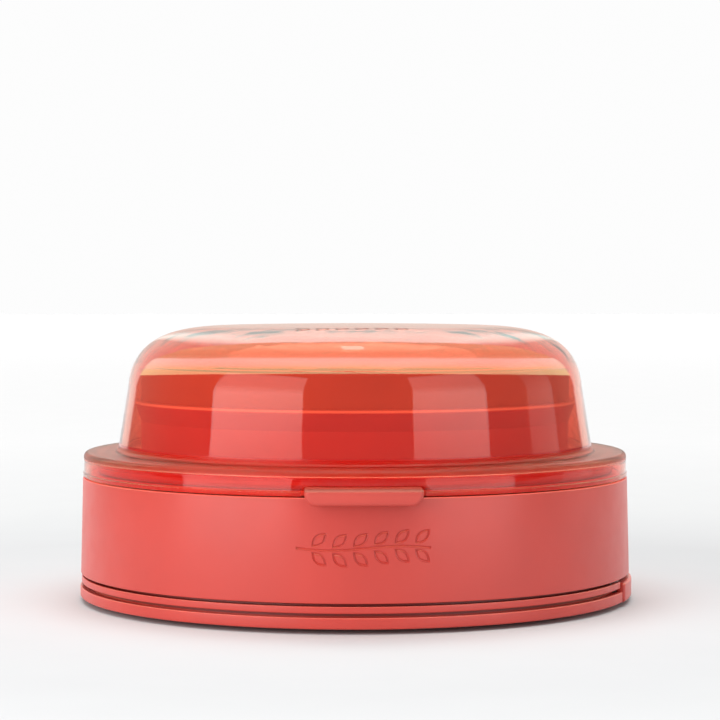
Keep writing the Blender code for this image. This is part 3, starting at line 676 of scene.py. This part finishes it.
def build_spoon():
    """A pressed steel spoon: an oval dish that runs into a gently arched handle."""
    middle_y = (SPOON_LOW.y + SPOON_HIGH.y) / 2
    dish_length, thickness, widest = 44.0, 0.9, 0.55
    half_dish = (SPOON_HIGH.y - SPOON_LOW.y) / 2
    length = SPOON_HIGH.x - SPOON_LOW.x
    depth = SPOON_HIGH.z - SPOON_LOW.z - thickness
    sections = []
    for step in range(CUTLERY_STEPS + 1):
        x = length * step / CUTLERY_STEPS
        if x < dish_length:
            s = x / dish_length
            dip = depth * math.sin(math.pi * min(s / 0.98, 1.0)) ** 0.8
            if s < widest:
                half = half_dish * math.sqrt(max(1 - (1 - s / widest) ** 2, 0))
            else:
                t = (s - widest) / (1 - widest)
                half = half_dish + (CUTLERY_NECK - half_dish) * (3 * t**2 - 2 * t**3)
        else:
            share = (x - dish_length) / (length - dish_length)
            half = handle_half_width(share)
            dip = 1.2 * share**2
        half = max(half, 0.15)
        x += SPOON_LOW.x
        sections.append(dished_section(x, middle_y, half, SPOON_HIGH.z, dip, thickness))
    return loft("spoon_steel", sections)


def dished_section(x, middle_y, half, rim, dip, thickness):
    """A strip of sheet across the piece, sagging by dip in its middle."""
    top, bottom = [], []
    for index in range(-8, 9):
        across = index / 8
        sag = dip * (1 - abs(across) ** 2.2)
        y = middle_y + half * across
        edge = thickness * (1 - 0.35 * abs(across) ** 6)
        top.append((x, y, rim - sag - (thickness - edge) / 2))
        bottom.append((x, y, rim - sag - thickness + (thickness - edge) / 2))
    return top + bottom[::-1]


def build_fork():
    """A pressed steel fork, flat from its handle to its tines."""
    middle_y = (FORK_LOW.y + FORK_HIGH.y) / 2
    head_half = (FORK_HIGH.y - FORK_LOW.y) / 2
    length = FORK_HIGH.x - FORK_LOW.x
    thickness = FORK_HIGH.z - FORK_LOW.z
    head = 42.0
    sections = []
    for step in range(CUTLERY_STEPS + 1):
        x = length * step / CUTLERY_STEPS
        to_tip = length - x
        if to_tip < head:
            s = 1 - to_tip / head
            half = CUTLERY_NECK + (head_half - CUTLERY_NECK) * min(1, (s / 0.42)) ** 0.7
            half *= 1 - 0.1 * max(0, s - 0.6)
            half = min(half, head_half)
        else:
            share = 1 - x / (length - head)
            half = handle_half_width(share)
        half = max(half, 0.15)
        x += FORK_LOW.x
        sections.append(dished_section(x, middle_y, half, FORK_HIGH.z, 0.0, thickness))
    fork = loft("fork_steel", sections)
    slots = []
    pitch = 2 * head_half / 4
    for index in (-1, 0, 1):
        y = middle_y + index * pitch * 0.98
        outline = rounded(
            [
                (FORK_HIGH.x - 25, y - 1.2, 1.1),
                (FORK_HIGH.x + 5, y - 1.45),
                (FORK_HIGH.x + 5, y + 1.45),
                (FORK_HIGH.x - 25, y + 1.2, 1.1),
            ]
        )
        spans = (FORK_LOW.z - 1, FORK_HIGH.z + 1)
        slots.append(loft("slot", [[(p.x, p.y, z) for p in outline] for z in spans]))
    carve(fork, slots)
    return fork


# ---------------------------------------------------------------------------- materials

def new_material(name):
    material = bpy.data.materials.new(name)
    material.use_nodes = True
    nodes = material.node_tree.nodes
    shader = nodes["Principled BSDF"]
    return material, nodes, material.node_tree.links, shader


def noise(nodes, links, scale, detail=3.0, stretch=(1, 1, 1)):
    """A noise texture over the object's own space, whose scale counts per metre."""
    place = nodes.new("ShaderNodeTexCoord")
    shape = nodes.new("ShaderNodeMapping")
    shape.inputs["Scale"].default_value = stretch
    texture = nodes.new("ShaderNodeTexNoise")
    texture.inputs["Scale"].default_value = scale
    texture.inputs["Detail"].default_value = detail
    links.new(place.outputs["Object"], shape.inputs["Vector"])
    links.new(shape.outputs["Vector"], texture.inputs["Vector"])
    return texture.outputs["Fac"]


def ramp(nodes, links, source, stops):
    """Maps a value to the colours or greys in stops, which are (place, colour)."""
    node = nodes.new("ShaderNodeValToRGB")
    elements = node.color_ramp.elements
    while len(elements) < len(stops):
        elements.new(0.5)
    for element, (place, colour) in zip(elements, stops):
        element.position = place
        element.color = (*colour, 1)
    links.new(source, node.inputs["Fac"])
    return node.outputs["Color"]


def bump(nodes, links, source, depth_mm, onto=None):
    node = nodes.new("ShaderNodeBump")
    node.inputs["Strength"].default_value = 1.0
    node.inputs["Distance"].default_value = depth_mm * MM
    links.new(source, node.inputs["Height"])
    if onto is not None:
        links.new(onto, node.inputs["Normal"])
    return node.outputs["Normal"]


def combined(nodes, links, first, second, operation):
    """A sum, product or the like of a value and either another value or a number."""
    node = nodes.new("ShaderNodeMath")
    node.operation = operation
    links.new(first, node.inputs[0])
    if isinstance(second, float):
        node.inputs[1].default_value = second
    else:
        links.new(second, node.inputs[1])
    return node.outputs["Value"]


def multiplied(nodes, links, first, second):
    """The product of two colours."""
    node = nodes.new("ShaderNodeMix")
    node.data_type = "RGBA"
    node.blend_type = "MULTIPLY"
    node.inputs["Factor"].default_value = 1.0
    links.new(first, node.inputs["A"])
    links.new(second, node.inputs["B"])
    return node.outputs["Result"]


def object_height(nodes, links):
    """The height over the surface that the box stands on, in tenths of a metre."""
    place = nodes.new("ShaderNodeTexCoord")
    split = nodes.new("ShaderNodeSeparateXYZ")
    links.new(place.outputs["Object"], split.inputs["Vector"])
    return combined(nodes, links, split.outputs["Z"], 10.0, "MULTIPLY")


def shade(colour, factor):
    return tuple(min(c * factor, 1.0) for c in colour)


def greys(*stops):
    """Stops for a ramp of plain numbers."""
    return [(place, (value,) * 3) for place, value in stops]


def moulded(name, colour, roughness, grain_mm, mottle=0.04, coat=0.0, zones=None):
    """Moulded plastic: faint mottling, a fine spark-eroded grain and uneven gloss.

    With zones, (height in tenths of a metre, colour) stops replace the one colour.
    """
    material, nodes, links, shader = new_material(name)
    clouds = noise(nodes, links, 45.0, 4.0)
    if zones is None:
        tones = [(0.3, shade(colour, 1 - mottle)), (0.7, shade(colour, 1 + mottle))]
        tone = ramp(nodes, links, clouds, tones)
    else:
        banded = ramp(nodes, links, object_height(nodes, links), zones)
        faint = ramp(nodes, links, clouds, greys((0.3, 1 - mottle), (0.7, 1 + mottle)))
        tone = multiplied(nodes, links, banded, faint)
    links.new(tone, shader.inputs["Base Color"])
    gloss = noise(nodes, links, 130.0, 3.0)
    spread = greys((0.3, roughness * 0.93), (0.7, roughness * 1.07))
    links.new(ramp(nodes, links, gloss, spread), shader.inputs["Roughness"])
    grain = noise(nodes, links, 2600.0, 2.0)
    links.new(bump(nodes, links, grain, grain_mm), shader.inputs["Normal"])
    shader.inputs["Coat Weight"].default_value = coat
    shader.inputs["Coat Roughness"].default_value = 0.25
    return material


def silicone(name, colour, roughness, dust):
    """Silicone rubber: soft sheen and a little lint."""
    material, nodes, links, shader = new_material(name)
    clouds = noise(nodes, links, 60.0, 4.0)
    tones = [(0.3, shade(colour, 0.95)), (0.7, shade(colour, 1.05))]
    body = ramp(nodes, links, clouds, tones)
    lint = ramp(nodes, links, noise(nodes, links, 900.0, 2.0), greys((0.66, 0), (0.8, 1)))
    blend = nodes.new("ShaderNodeMix")
    blend.data_type = "RGBA"
    blend.inputs["B"].default_value = (*shade(colour, 1.6), 1)
    links.new(combined(nodes, links, lint, dust, "MULTIPLY"), blend.inputs["Factor"])
    links.new(body, blend.inputs["A"])
    links.new(blend.outputs["Result"], shader.inputs["Base Color"])
    grain = noise(nodes, links, 1800.0, 3.0)
    links.new(bump(nodes, links, grain, 0.02), shader.inputs["Normal"])
    shader.inputs["Roughness"].default_value = roughness
    shader.inputs["Sheen Weight"].default_value = 0.12
    shader.inputs["Sheen Roughness"].default_value = 0.5
    return material


def brushed_steel(name, stretch):
    """Steel with fine brushing along its length and uneven gloss."""
    material, nodes, links, shader = new_material(name)
    lines = noise(nodes, links, 900.0, 4.0, stretch)
    tones = [(0.3, (0.50, 0.495, 0.485)), (0.7, (0.68, 0.675, 0.665))]
    links.new(ramp(nodes, links, lines, tones), shader.inputs["Base Color"])
    spread = greys((0.3, 0.16), (0.7, 0.30))
    links.new(ramp(nodes, links, lines, spread), shader.inputs["Roughness"])
    links.new(bump(nodes, links, lines, 0.004), shader.inputs["Normal"])
    shader.inputs["Metallic"].default_value = 1.0
    return material


CLEAR_TINT = (0.95, 0.28, 0.18)
# Heights in tenths of a metre: where the flange's satin starts and is full, below and above.
SATIN_LOW = (0.474, 0.486)
SATIN_HIGH = (0.523, 0.530)


def clear_tinted(name):
    """Clear tinted plastic with a satin flange and faint flow waves in its crown.

    Shadows and bounced light pass straight through, tinted.
    """
    material, nodes, links, shader = new_material(name)
    height = object_height(nodes, links)
    shoulder = ramp(nodes, links, height, greys((0.80, 0.0), (0.83, 1.0)))
    flow = noise(nodes, links, 60.0, 2.0, (1, 1, 0.4))
    waves = bump(nodes, links, combined(nodes, links, flow, shoulder, "MULTIPLY"), 0.22)
    ripples = bump(nodes, links, noise(nodes, links, 70.0, 2.0), 0.03, waves)
    links.new(ripples, shader.inputs["Normal"])

    smears = noise(nodes, links, 90.0, 3.0)
    haze = ramp(nodes, links, smears, greys((0.35, 0.012), (0.75, 0.05)))
    dull = greys((SATIN_LOW[0], 0), (SATIN_LOW[1], 0.3), (SATIN_HIGH[0], 0.3), (SATIN_HIGH[1], 0))
    satin = ramp(nodes, links, height, dull)
    links.new(combined(nodes, links, haze, satin, "ADD"), shader.inputs["Roughness"])

    tones = [(0.3, shade(CLEAR_TINT, 0.97)), (0.7, shade(CLEAR_TINT, 1.02))]
    links.new(ramp(nodes, links, noise(nodes, links, 30.0), tones), shader.inputs["Base Color"])
    shader.inputs["Transmission Weight"].default_value = 1.0

    # A ramp holds nothing over 1, so it carries half of each refractive index.
    skirt, flange, dome = 1.33 / 2, 1.2 / 2, 1.57 / 2
    halves = greys((SATIN_LOW[0], skirt), (SATIN_LOW[1], flange))
    halves += greys((SATIN_HIGH[0], flange), (SATIN_HIGH[1], dome))
    bending = combined(nodes, links, ramp(nodes, links, height, halves), 2.0, "MULTIPLY")
    links.new(bending, shader.inputs["IOR"])

    through = nodes.new("ShaderNodeBsdfTransparent")
    through.inputs["Color"].default_value = (*(math.sqrt(c) for c in CLEAR_TINT), 1)
    path = nodes.new("ShaderNodeLightPath")
    shadow, bounced = path.outputs["Is Shadow Ray"], path.outputs["Is Diffuse Ray"]
    blend = nodes.new("ShaderNodeMixShader")
    links.new(combined(nodes, links, shadow, bounced, "MAXIMUM"), blend.inputs["Fac"])
    links.new(shader.outputs["BSDF"], blend.inputs[1])
    links.new(through.outputs["BSDF"], blend.inputs[2])
    links.new(blend.outputs["Shader"], nodes["Material Output"].inputs["Surface"])
    return material


CORAL = (0.53, 0.042, 0.029)
LIGHT_CORAL = (0.54, 0.060, 0.045)
# Painted highlights for the tray: a paler orange for its lip and a cream band for its bead.
LIP_PAINTED_HIGHLIGHT = (0.45, 0.21, 0.06)
BEAD_PAINTED_HIGHLIGHT = (0.88, 0.84, 0.76)

matte_coral = moulded("matte_coral_moulded", CORAL, 0.42, 0.010, coat=0.3)
# Painted shade: above its lower rim the base is a darker shade, which darkens the neck between its
# grooves where shade falls.
base_painted_shade_zones = [(0.0515, CORAL), (0.0535, shade(CORAL, 0.4))]
base_coral_painted_shade = moulded("base_coral_painted_shade", CORAL, 0.42, 0.010, coat=0.3, zones=base_painted_shade_zones)
# Painted shade: the tops of the tab and of the ring that the tray stands in are a darker shade than
# the rest of the plate.
plate_painted_shade_zones = [(0.441, LIGHT_CORAL), (0.447, shade(LIGHT_CORAL, 0.42))]
plate_coral_painted_shade = moulded("plate_coral_painted_shade", LIGHT_CORAL, 0.46, 0.008, zones=plate_painted_shade_zones)
# Painted highlight: the tray's bead carries a cream band for the light that its edge catches, and
# above it the lip is a paler orange for the same light.
tray_painted_highlight_zones = [(0.6695, LIGHT_CORAL), (0.6700, BEAD_PAINTED_HIGHLIGHT), (0.6790, BEAD_PAINTED_HIGHLIGHT), (0.6795, LIP_PAINTED_HIGHLIGHT)]
tray_coral_painted_highlight = moulded("tray_coral_painted_highlight", LIGHT_CORAL, 0.40, 0.008, zones=tray_painted_highlight_zones)
white_satin = moulded("white_satin_moulded", (0.82, 0.80, 0.76), 0.34, 0.006, 0.02)
cream_gloss = moulded("cream_gloss_moulded", (0.86, 0.79, 0.67), 0.20, 0.004, 0.02)
clear_coral = clear_tinted("clear_coral_polished")
coral_silicone = silicone("coral_silicone_soft", (0.54, 0.060, 0.048), 0.55, 0.25)
grey_silicone = silicone("grey_silicone_soft", (0.11, 0.105, 0.105), 0.6, 0.35)
cutlery_steel = brushed_steel("cutlery_steel_brushed", (0.06, 1, 1))
screw_steel = brushed_steel("screw_steel_turned", (1, 1, 0.3))


# ----------------------------------------------------------------------- the new pieces

def coat(obj, material):
    """Makes material the only one on a piece."""
    obj.data.materials.clear()
    obj.data.materials.append(material)
    for face in obj.data.polygons:
        face.material_index = 0


def place(obj, body, material, slot, *nodes):
    """Gives a piece its finish, its body and the CAD nodes that it stands for."""
    coat(obj, material)
    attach(obj, body)
    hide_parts(*nodes)


place(build_pad(), "case", grey_silicone, "grey_silicone", "foot_pad")
place(build_base(), "case", base_coral_painted_shade, "matte_coral", "base_cover")
place(build_band(), "case", matte_coral, "matte_coral", "trim_band")
place(build_shell(), "case", matte_coral, "matte_coral", "outer_shell")
place(build_bowl(), "bowl", cream_gloss, "cream_plastic", "food_bowl")
place(build_plate(), "plate", plate_coral_painted_shade, "matte_coral", "inner_lid")
place(build_seal(), "plate", coral_silicone, "coral_silicone", "inner_lid_gasket")
place(build_vent(), "vent", coral_silicone, "coral_silicone", "vent_plug")
place(build_tray(), "tray", tray_coral_painted_highlight, "matte_coral", "upper_tray")
place(build_dome(), "dome", clear_coral, "clear_coral", "dome_lid")
place(build_dome_seal(), "dome", coral_silicone, "coral_silicone", "dome_gasket")
place(build_drawer_face(), "drawer", matte_coral, "matte_coral", "drawer_front")
place(build_fork(), "drawer", cutlery_steel, "steel", "fork")
place(build_spoon(), "drawer", cutlery_steel, "steel", "spoon")


# ---------------------------------------------------------------- the CAD nodes that stay

def keep(node, material, edge_mm):
    """Softens a CAD node's edges and gives it its moulded or turned finish."""
    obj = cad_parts[node]
    coat(obj, material)
    weld = obj.modifiers.new("weld", "WELD")
    weld.merge_threshold = 0.00001
    bevel = obj.modifiers.new("soft_edges", "BEVEL")
    bevel.width = edge_mm * MM
    bevel.segments = 3
    bevel.limit_method = "ANGLE"
    bevel.angle_limit = math.radians(40)
    bevel.harden_normals = True


keep("bowl_divider", cream_gloss, 0.4)
keep("tray_divider", cream_gloss, 0.35)
keep("drawer_tray", white_satin, 0.3)
keep("drawer_rail_front", white_satin, 0.25)
keep("drawer_rail_rear", white_satin, 0.25)
for screw in range(1, 5):
    keep(f"base_screw_{screw}", screw_steel, 0.12)


# --------------------------------------------------------------------- floor and studio

CAMERA_TURN = -1.75  # degrees round the lunch box, from straight in front of its tab

# What the room holds, by the tilt in degrees of the face that mirrors it to the front: it is
# dim ahead, with a pale lamp bank above that ends in a straight edge.
FRONT_GLOW = [(0, (0.35, 0.35, 0.35)), (21.8, (0.35, 0.35, 0.35)), (22.4, (5.6, 6.1, 3.3))]
FRONT_GLOW += [(27, (5.7, 6.7, 3.5)), (30.5, (5.7, 6.8, 5.2)), (37, (6.0, 7.3, 6.3))]
FRONT_GLOW += [(42.5, (5.8, 6.9, 6.0)), (45, (3.0, 3.6, 2.3)), (50, (2.4, 2.9, 1.7))]
FRONT_GLOW += [(58, (2.8, 3.2, 1.8)), (64, (3.6, 3.9, 2.4)), (90, (3.6, 3.9, 2.4))]
# The same at a grazing angle, which shows the white sweep behind.
GRAZING_GLOW = [(0, (1.2, 1.15, 1.1)), (55, (1.5, 1.5, 1.45)), (64, (3.2, 3.9, 3.6))]
GRAZING_GLOW += [(70, (2.2, 2.9, 2.7)), (75, (1.7, 2.0, 1.9)), (80, (1.2, 1.33, 1.25))]
GRAZING_GLOW += [(85, (1.0, 0.9, 0.83)), (90, (0.88, 0.68, 0.6))]
# The grazing glow again where the mirror leans to one side.
SIDE_GLOW = [(0, (1.2, 1.15, 1.1)), (30, (1.1, 1.0, 0.95)), (60, (0.9, 0.76, 0.7))]
SIDE_GLOW += [(90, (0.88, 0.68, 0.6))]
CROWN_GLOW = (0.9, 0.72, 0.64)
GLOW_SCALE = 10.0
VIEW_SPREAD = 0.1
VIEW_RISE = 0.03
FILL = (0.38, 0.38, 0.38)
SWEEP = (0.95, 0.95, 0.95)
BACKDROP = (0.98, 0.98, 0.98)

# The floor is a plain sweep that turns paler with distance, here in metres.
FLOOR_REACH = 3.0
FLOOR_TONES = [(0.10, (0.635, 0.655, 0.66)), (0.20, (0.62, 0.63, 0.635))]
FLOOR_TONES += [(0.35, (0.675, 0.68, 0.68)), (0.8, (0.75, 0.75, 0.75))]
FLOOR_TONES += [(FLOOR_REACH, (0.84, 0.84, 0.84))]


def floor_material():
    """A plain pale floor, matt and very faintly mottled."""
    material, nodes, links, shader = new_material("studio_floor")
    place = nodes.new("ShaderNodeTexCoord")
    reach = nodes.new("ShaderNodeVectorMath")
    reach.operation = "LENGTH"
    links.new(place.outputs["Object"], reach.inputs[0])
    share = combined(nodes, links, reach.outputs["Value"], FLOOR_REACH, "DIVIDE")
    stops = [(metres / FLOOR_REACH, colour) for metres, colour in FLOOR_TONES]
    sweep = ramp(nodes, links, share, stops)
    speck = ramp(nodes, links, noise(nodes, links, 35.0), greys((0.3, 0.99), (0.7, 1)))
    links.new(multiplied(nodes, links, sweep, speck), shader.inputs["Base Color"])
    shader.inputs["Roughness"].default_value = 0.6
    shader.inputs["Specular IOR Level"].default_value = 0.0
    return material


def build_floor():
    work = bmesh.new()
    bmesh.ops.create_grid(work, x_segments=12, y_segments=12, size=6.0)
    mesh = bpy.data.meshes.new("studio_floor")
    work.to_mesh(mesh)
    work.free()
    floor = link("studio_floor", mesh)
    floor.data.materials.append(floor_material())


def softbox(name, centre, width, height, radiance, aim):
    """A rectangular studio light that shines at aim."""
    light = bpy.data.lights.new(name, "AREA")
    light.shape = "RECTANGLE"
    light.size = width
    light.size_y = height
    light.energy = radiance * math.pi * width * height
    obj = bpy.data.objects.new(name, light)
    obj.location = centre
    obj.rotation_euler = (Vector(aim) - Vector(centre)).to_track_quat("-Z", "Y").to_euler()
    bpy.context.scene.collection.objects.link(obj)
    return obj


def fade_upwards(lamp, height):
    """Dims a standing softbox from its foot to half its height."""
    lamp.data.use_nodes = True
    nodes, links = lamp.data.node_tree.nodes, lamp.data.node_tree.links
    place = nodes.new("ShaderNodeNewGeometry")
    split = nodes.new("ShaderNodeSeparateXYZ")
    fade = nodes.new("ShaderNodeMapRange")
    fade.inputs["From Max"].default_value = height * 0.5
    fade.inputs["To Min"].default_value = 1.3
    fade.inputs["To Max"].default_value = 0.45
    links.new(place.outputs["Position"], split.inputs["Vector"])
    links.new(split.outputs["Z"], fade.inputs["Value"])
    links.new(fade.outputs["Result"], nodes["Emission"].inputs["Strength"])


def upright_panel(name, azimuth, spread, radiance):
    """A standing softbox that covers spread degrees about azimuth, left being minus."""
    distance, rise = 1.5, 36
    turn = math.radians(azimuth + CAMERA_TURN)
    x, y = math.sin(turn) * distance, -math.cos(turn) * distance
    width = 2 * distance * math.tan(math.radians(spread / 2))
    height = distance * math.tan(math.radians(rise))
    middle = height / 2
    lamp = softbox(name, (x, y, middle), width, height, radiance, (0, 0, middle))
    fade_upwards(lamp, height)
    return lamp


def skylight(name, strength, spread, back=0):
    """An even ceiling of light, spread degrees wide and leaning back degrees to the rear."""
    light = bpy.data.lights.new(name, "SUN")
    light.energy = strength
    light.angle = math.radians(spread)
    obj = bpy.data.objects.new(name, light)
    obj.rotation_euler = (-math.radians(back), 0, 0)
    obj.visible_glossy = False
    bpy.context.scene.collection.objects.link(obj)


def studio_world():
    """White behind the object, an even fill, and the studio that polished faces mirror."""
    world = bpy.data.worlds.new("studio")
    bpy.context.scene.world = world
    world.use_nodes = True
    nodes, links = world.node_tree.nodes, world.node_tree.links

    def mixed(amount, low, high):
        node = nodes.new("ShaderNodeMix")
        node.data_type = "RGBA"
        links.new(amount, node.inputs["Factor"])
        for name, value in (("A", low), ("B", high)):
            if isinstance(value, tuple):
                node.inputs[name].default_value = (*value, 1)
            else:
                links.new(value, node.inputs[name])
        return node.outputs["Result"]

    def ranged(value, start, end, low, high, smooth="LINEAR"):
        node = nodes.new("ShaderNodeMapRange")
        node.interpolation_type = smooth
        links.new(value, node.inputs["Value"])
        ends = ("From Min", "From Max", "To Min", "To Max")
        for name, number in zip(ends, (start, end, low, high)):
            node.inputs[name].default_value = number
        return node.outputs["Result"]

    def glow(height, stops):
        places = []
        for degrees, colour in stops:
            places.append((math.sin(math.radians(degrees)), shade(colour, 1 / GLOW_SCALE)))
        return ramp(nodes, links, height, places)

    def vector_math(operation, *vectors):
        node = nodes.new("ShaderNodeVectorMath")
        node.operation = operation
        for index, vector in enumerate(vectors):
            links.new(vector, node.inputs[index])
        return node.outputs["Value" if operation == "LENGTH" else "Vector"]

    def size_of(value):
        node = nodes.new("ShaderNodeMath")
        node.operation = "ABSOLUTE"
        links.new(value, node.inputs[0])
        return node.outputs["Value"]

    def scaled(colour, factor):
        node = nodes.new("ShaderNodeVectorMath")
        node.operation = "SCALE"
        links.new(colour, node.inputs[0])
        if isinstance(factor, float):
            node.inputs["Scale"].default_value = factor
        else:
            links.new(factor, node.inputs["Scale"])
        return node.outputs["Vector"]

    # The tilt of the face that would mirror each direction of the room towards the front.
    # It is half way between that direction and a line to a viewer at CAMERA_TURN.
    room = nodes.new("ShaderNodeTexCoord")
    turn = nodes.new("ShaderNodeMapping")
    turn.inputs["Rotation"].default_value = (0, 0, -math.radians(CAMERA_TURN))
    links.new(room.outputs["Generated"], turn.inputs["Vector"])
    parts = nodes.new("ShaderNodeSeparateXYZ")
    links.new(turn.outputs["Vector"], parts.inputs["Vector"])
    sideways = nodes.new("ShaderNodeClamp")
    sideways.inputs["Min"].default_value = -VIEW_SPREAD
    sideways.inputs["Max"].default_value = VIEW_SPREAD
    links.new(parts.outputs["X"], sideways.inputs["Value"])
    view = nodes.new("ShaderNodeCombineXYZ")
    links.new(sideways.outputs["Result"], view.inputs["X"])
    view.inputs["Y"].default_value = 1.0
    view.inputs["Z"].default_value = -VIEW_RISE
    onwards = vector_math("NORMALIZE", view.outputs["Vector"])
    towards = vector_math("SUBTRACT", turn.outputs["Vector"], onwards)
    normal = nodes.new("ShaderNodeSeparateXYZ")
    links.new(vector_math("NORMALIZE", towards), normal.inputs["Vector"])
    facing = ranged(normal.outputs["Y"], -1.0, 0.0, 1.0, 0.0)
    tilt = normal.outputs["Z"]

    level_edge = combined(nodes, links, tilt, ranged(facing, 0.0, 0.927, 0.206, 0.0), "ADD")
    ahead = scaled(glow(level_edge, FRONT_GLOW), ranged(facing, 0.36, 0.93, 0.3, 1.0))
    slant = combined(nodes, links, facing, ranged(tilt, 0.0, 1.0, 0.0, -0.1), "ADD")
    grazing = ranged(slant, 0.325, 0.36, 1.0, 0.0, "SMOOTHSTEP")
    leaning = ranged(size_of(normal.outputs["X"]), 0.15, 0.4, 0.0, 1.0)
    skimmed = mixed(leaning, glow(tilt, GRAZING_GLOW), glow(tilt, SIDE_GLOW))
    mirrored = scaled(mixed(grazing, ahead, skimmed), GLOW_SCALE)
    # Straight on behind the lunch box is what the crown of the dome mirrors as it is skimmed.
    bent = ranged(vector_math("LENGTH", towards), 0.1, 0.25, 0.0, 1.0)
    aside = ranged(size_of(parts.outputs["X"]), 0.1, 0.16, 0.0, 1.0)
    mirrored = mixed(combined(nodes, links, bent, aside, "MAXIMUM"), CROWN_GLOW, mirrored)

    path = nodes.new("ShaderNodeLightPath")
    seen = mixed(path.outputs["Is Diffuse Ray"], mirrored, FILL)
    seen = mixed(path.outputs["Is Transmission Ray"], seen, SWEEP)
    seen = mixed(path.outputs["Is Camera Ray"], seen, BACKDROP)
    links.new(seen, nodes["Background"].inputs["Color"])
    # Rays find the world by themselves, so that each kind of ray reads its own colour.
    world.cycles.sampling_method = "NONE"


build_floor()
studio_world()
skylight("skylight", 2.2, 74)
skylight("skylight_rear", 0.45, 30, 28)
upright_panel("softbox_left", -49, 48, 2.8)
upright_panel("softbox_right", 47.5, 39, 2.15)
upright_panel("softbox_far_right", 103.5, 21, 0.45)
key = upright_panel("key_left", -49, 48, 4.1)
key.visible_glossy = False
softbox("ceiling_lamp", (0, 0.4, 1.5), 0.14, 0.26, 3.0, (0, 0, 0.08))


# -------------------------------------------------------------------------------- camera

def build_camera():
    distance, height, tip = 0.854, 0.1109, 1.99
    turn = math.radians(CAMERA_TURN)
    data = bpy.data.cameras.new("camera")
    data.lens = 124.4
    data.sensor_width = 36
    data.clip_start = 0.05
    data.clip_end = 30
    camera = bpy.data.objects.new("camera", data)
    camera.location = (0.0017 + distance * math.sin(turn), -distance * math.cos(turn), height)
    camera.rotation_euler = (math.radians(90 - tip), 0, turn)
    bpy.context.scene.collection.objects.link(camera)
    bpy.context.scene.camera = camera


build_camera()
bpy.context.scene.view_settings.view_transform = "Standard"
bpy.context.scene.view_settings.look = "None"
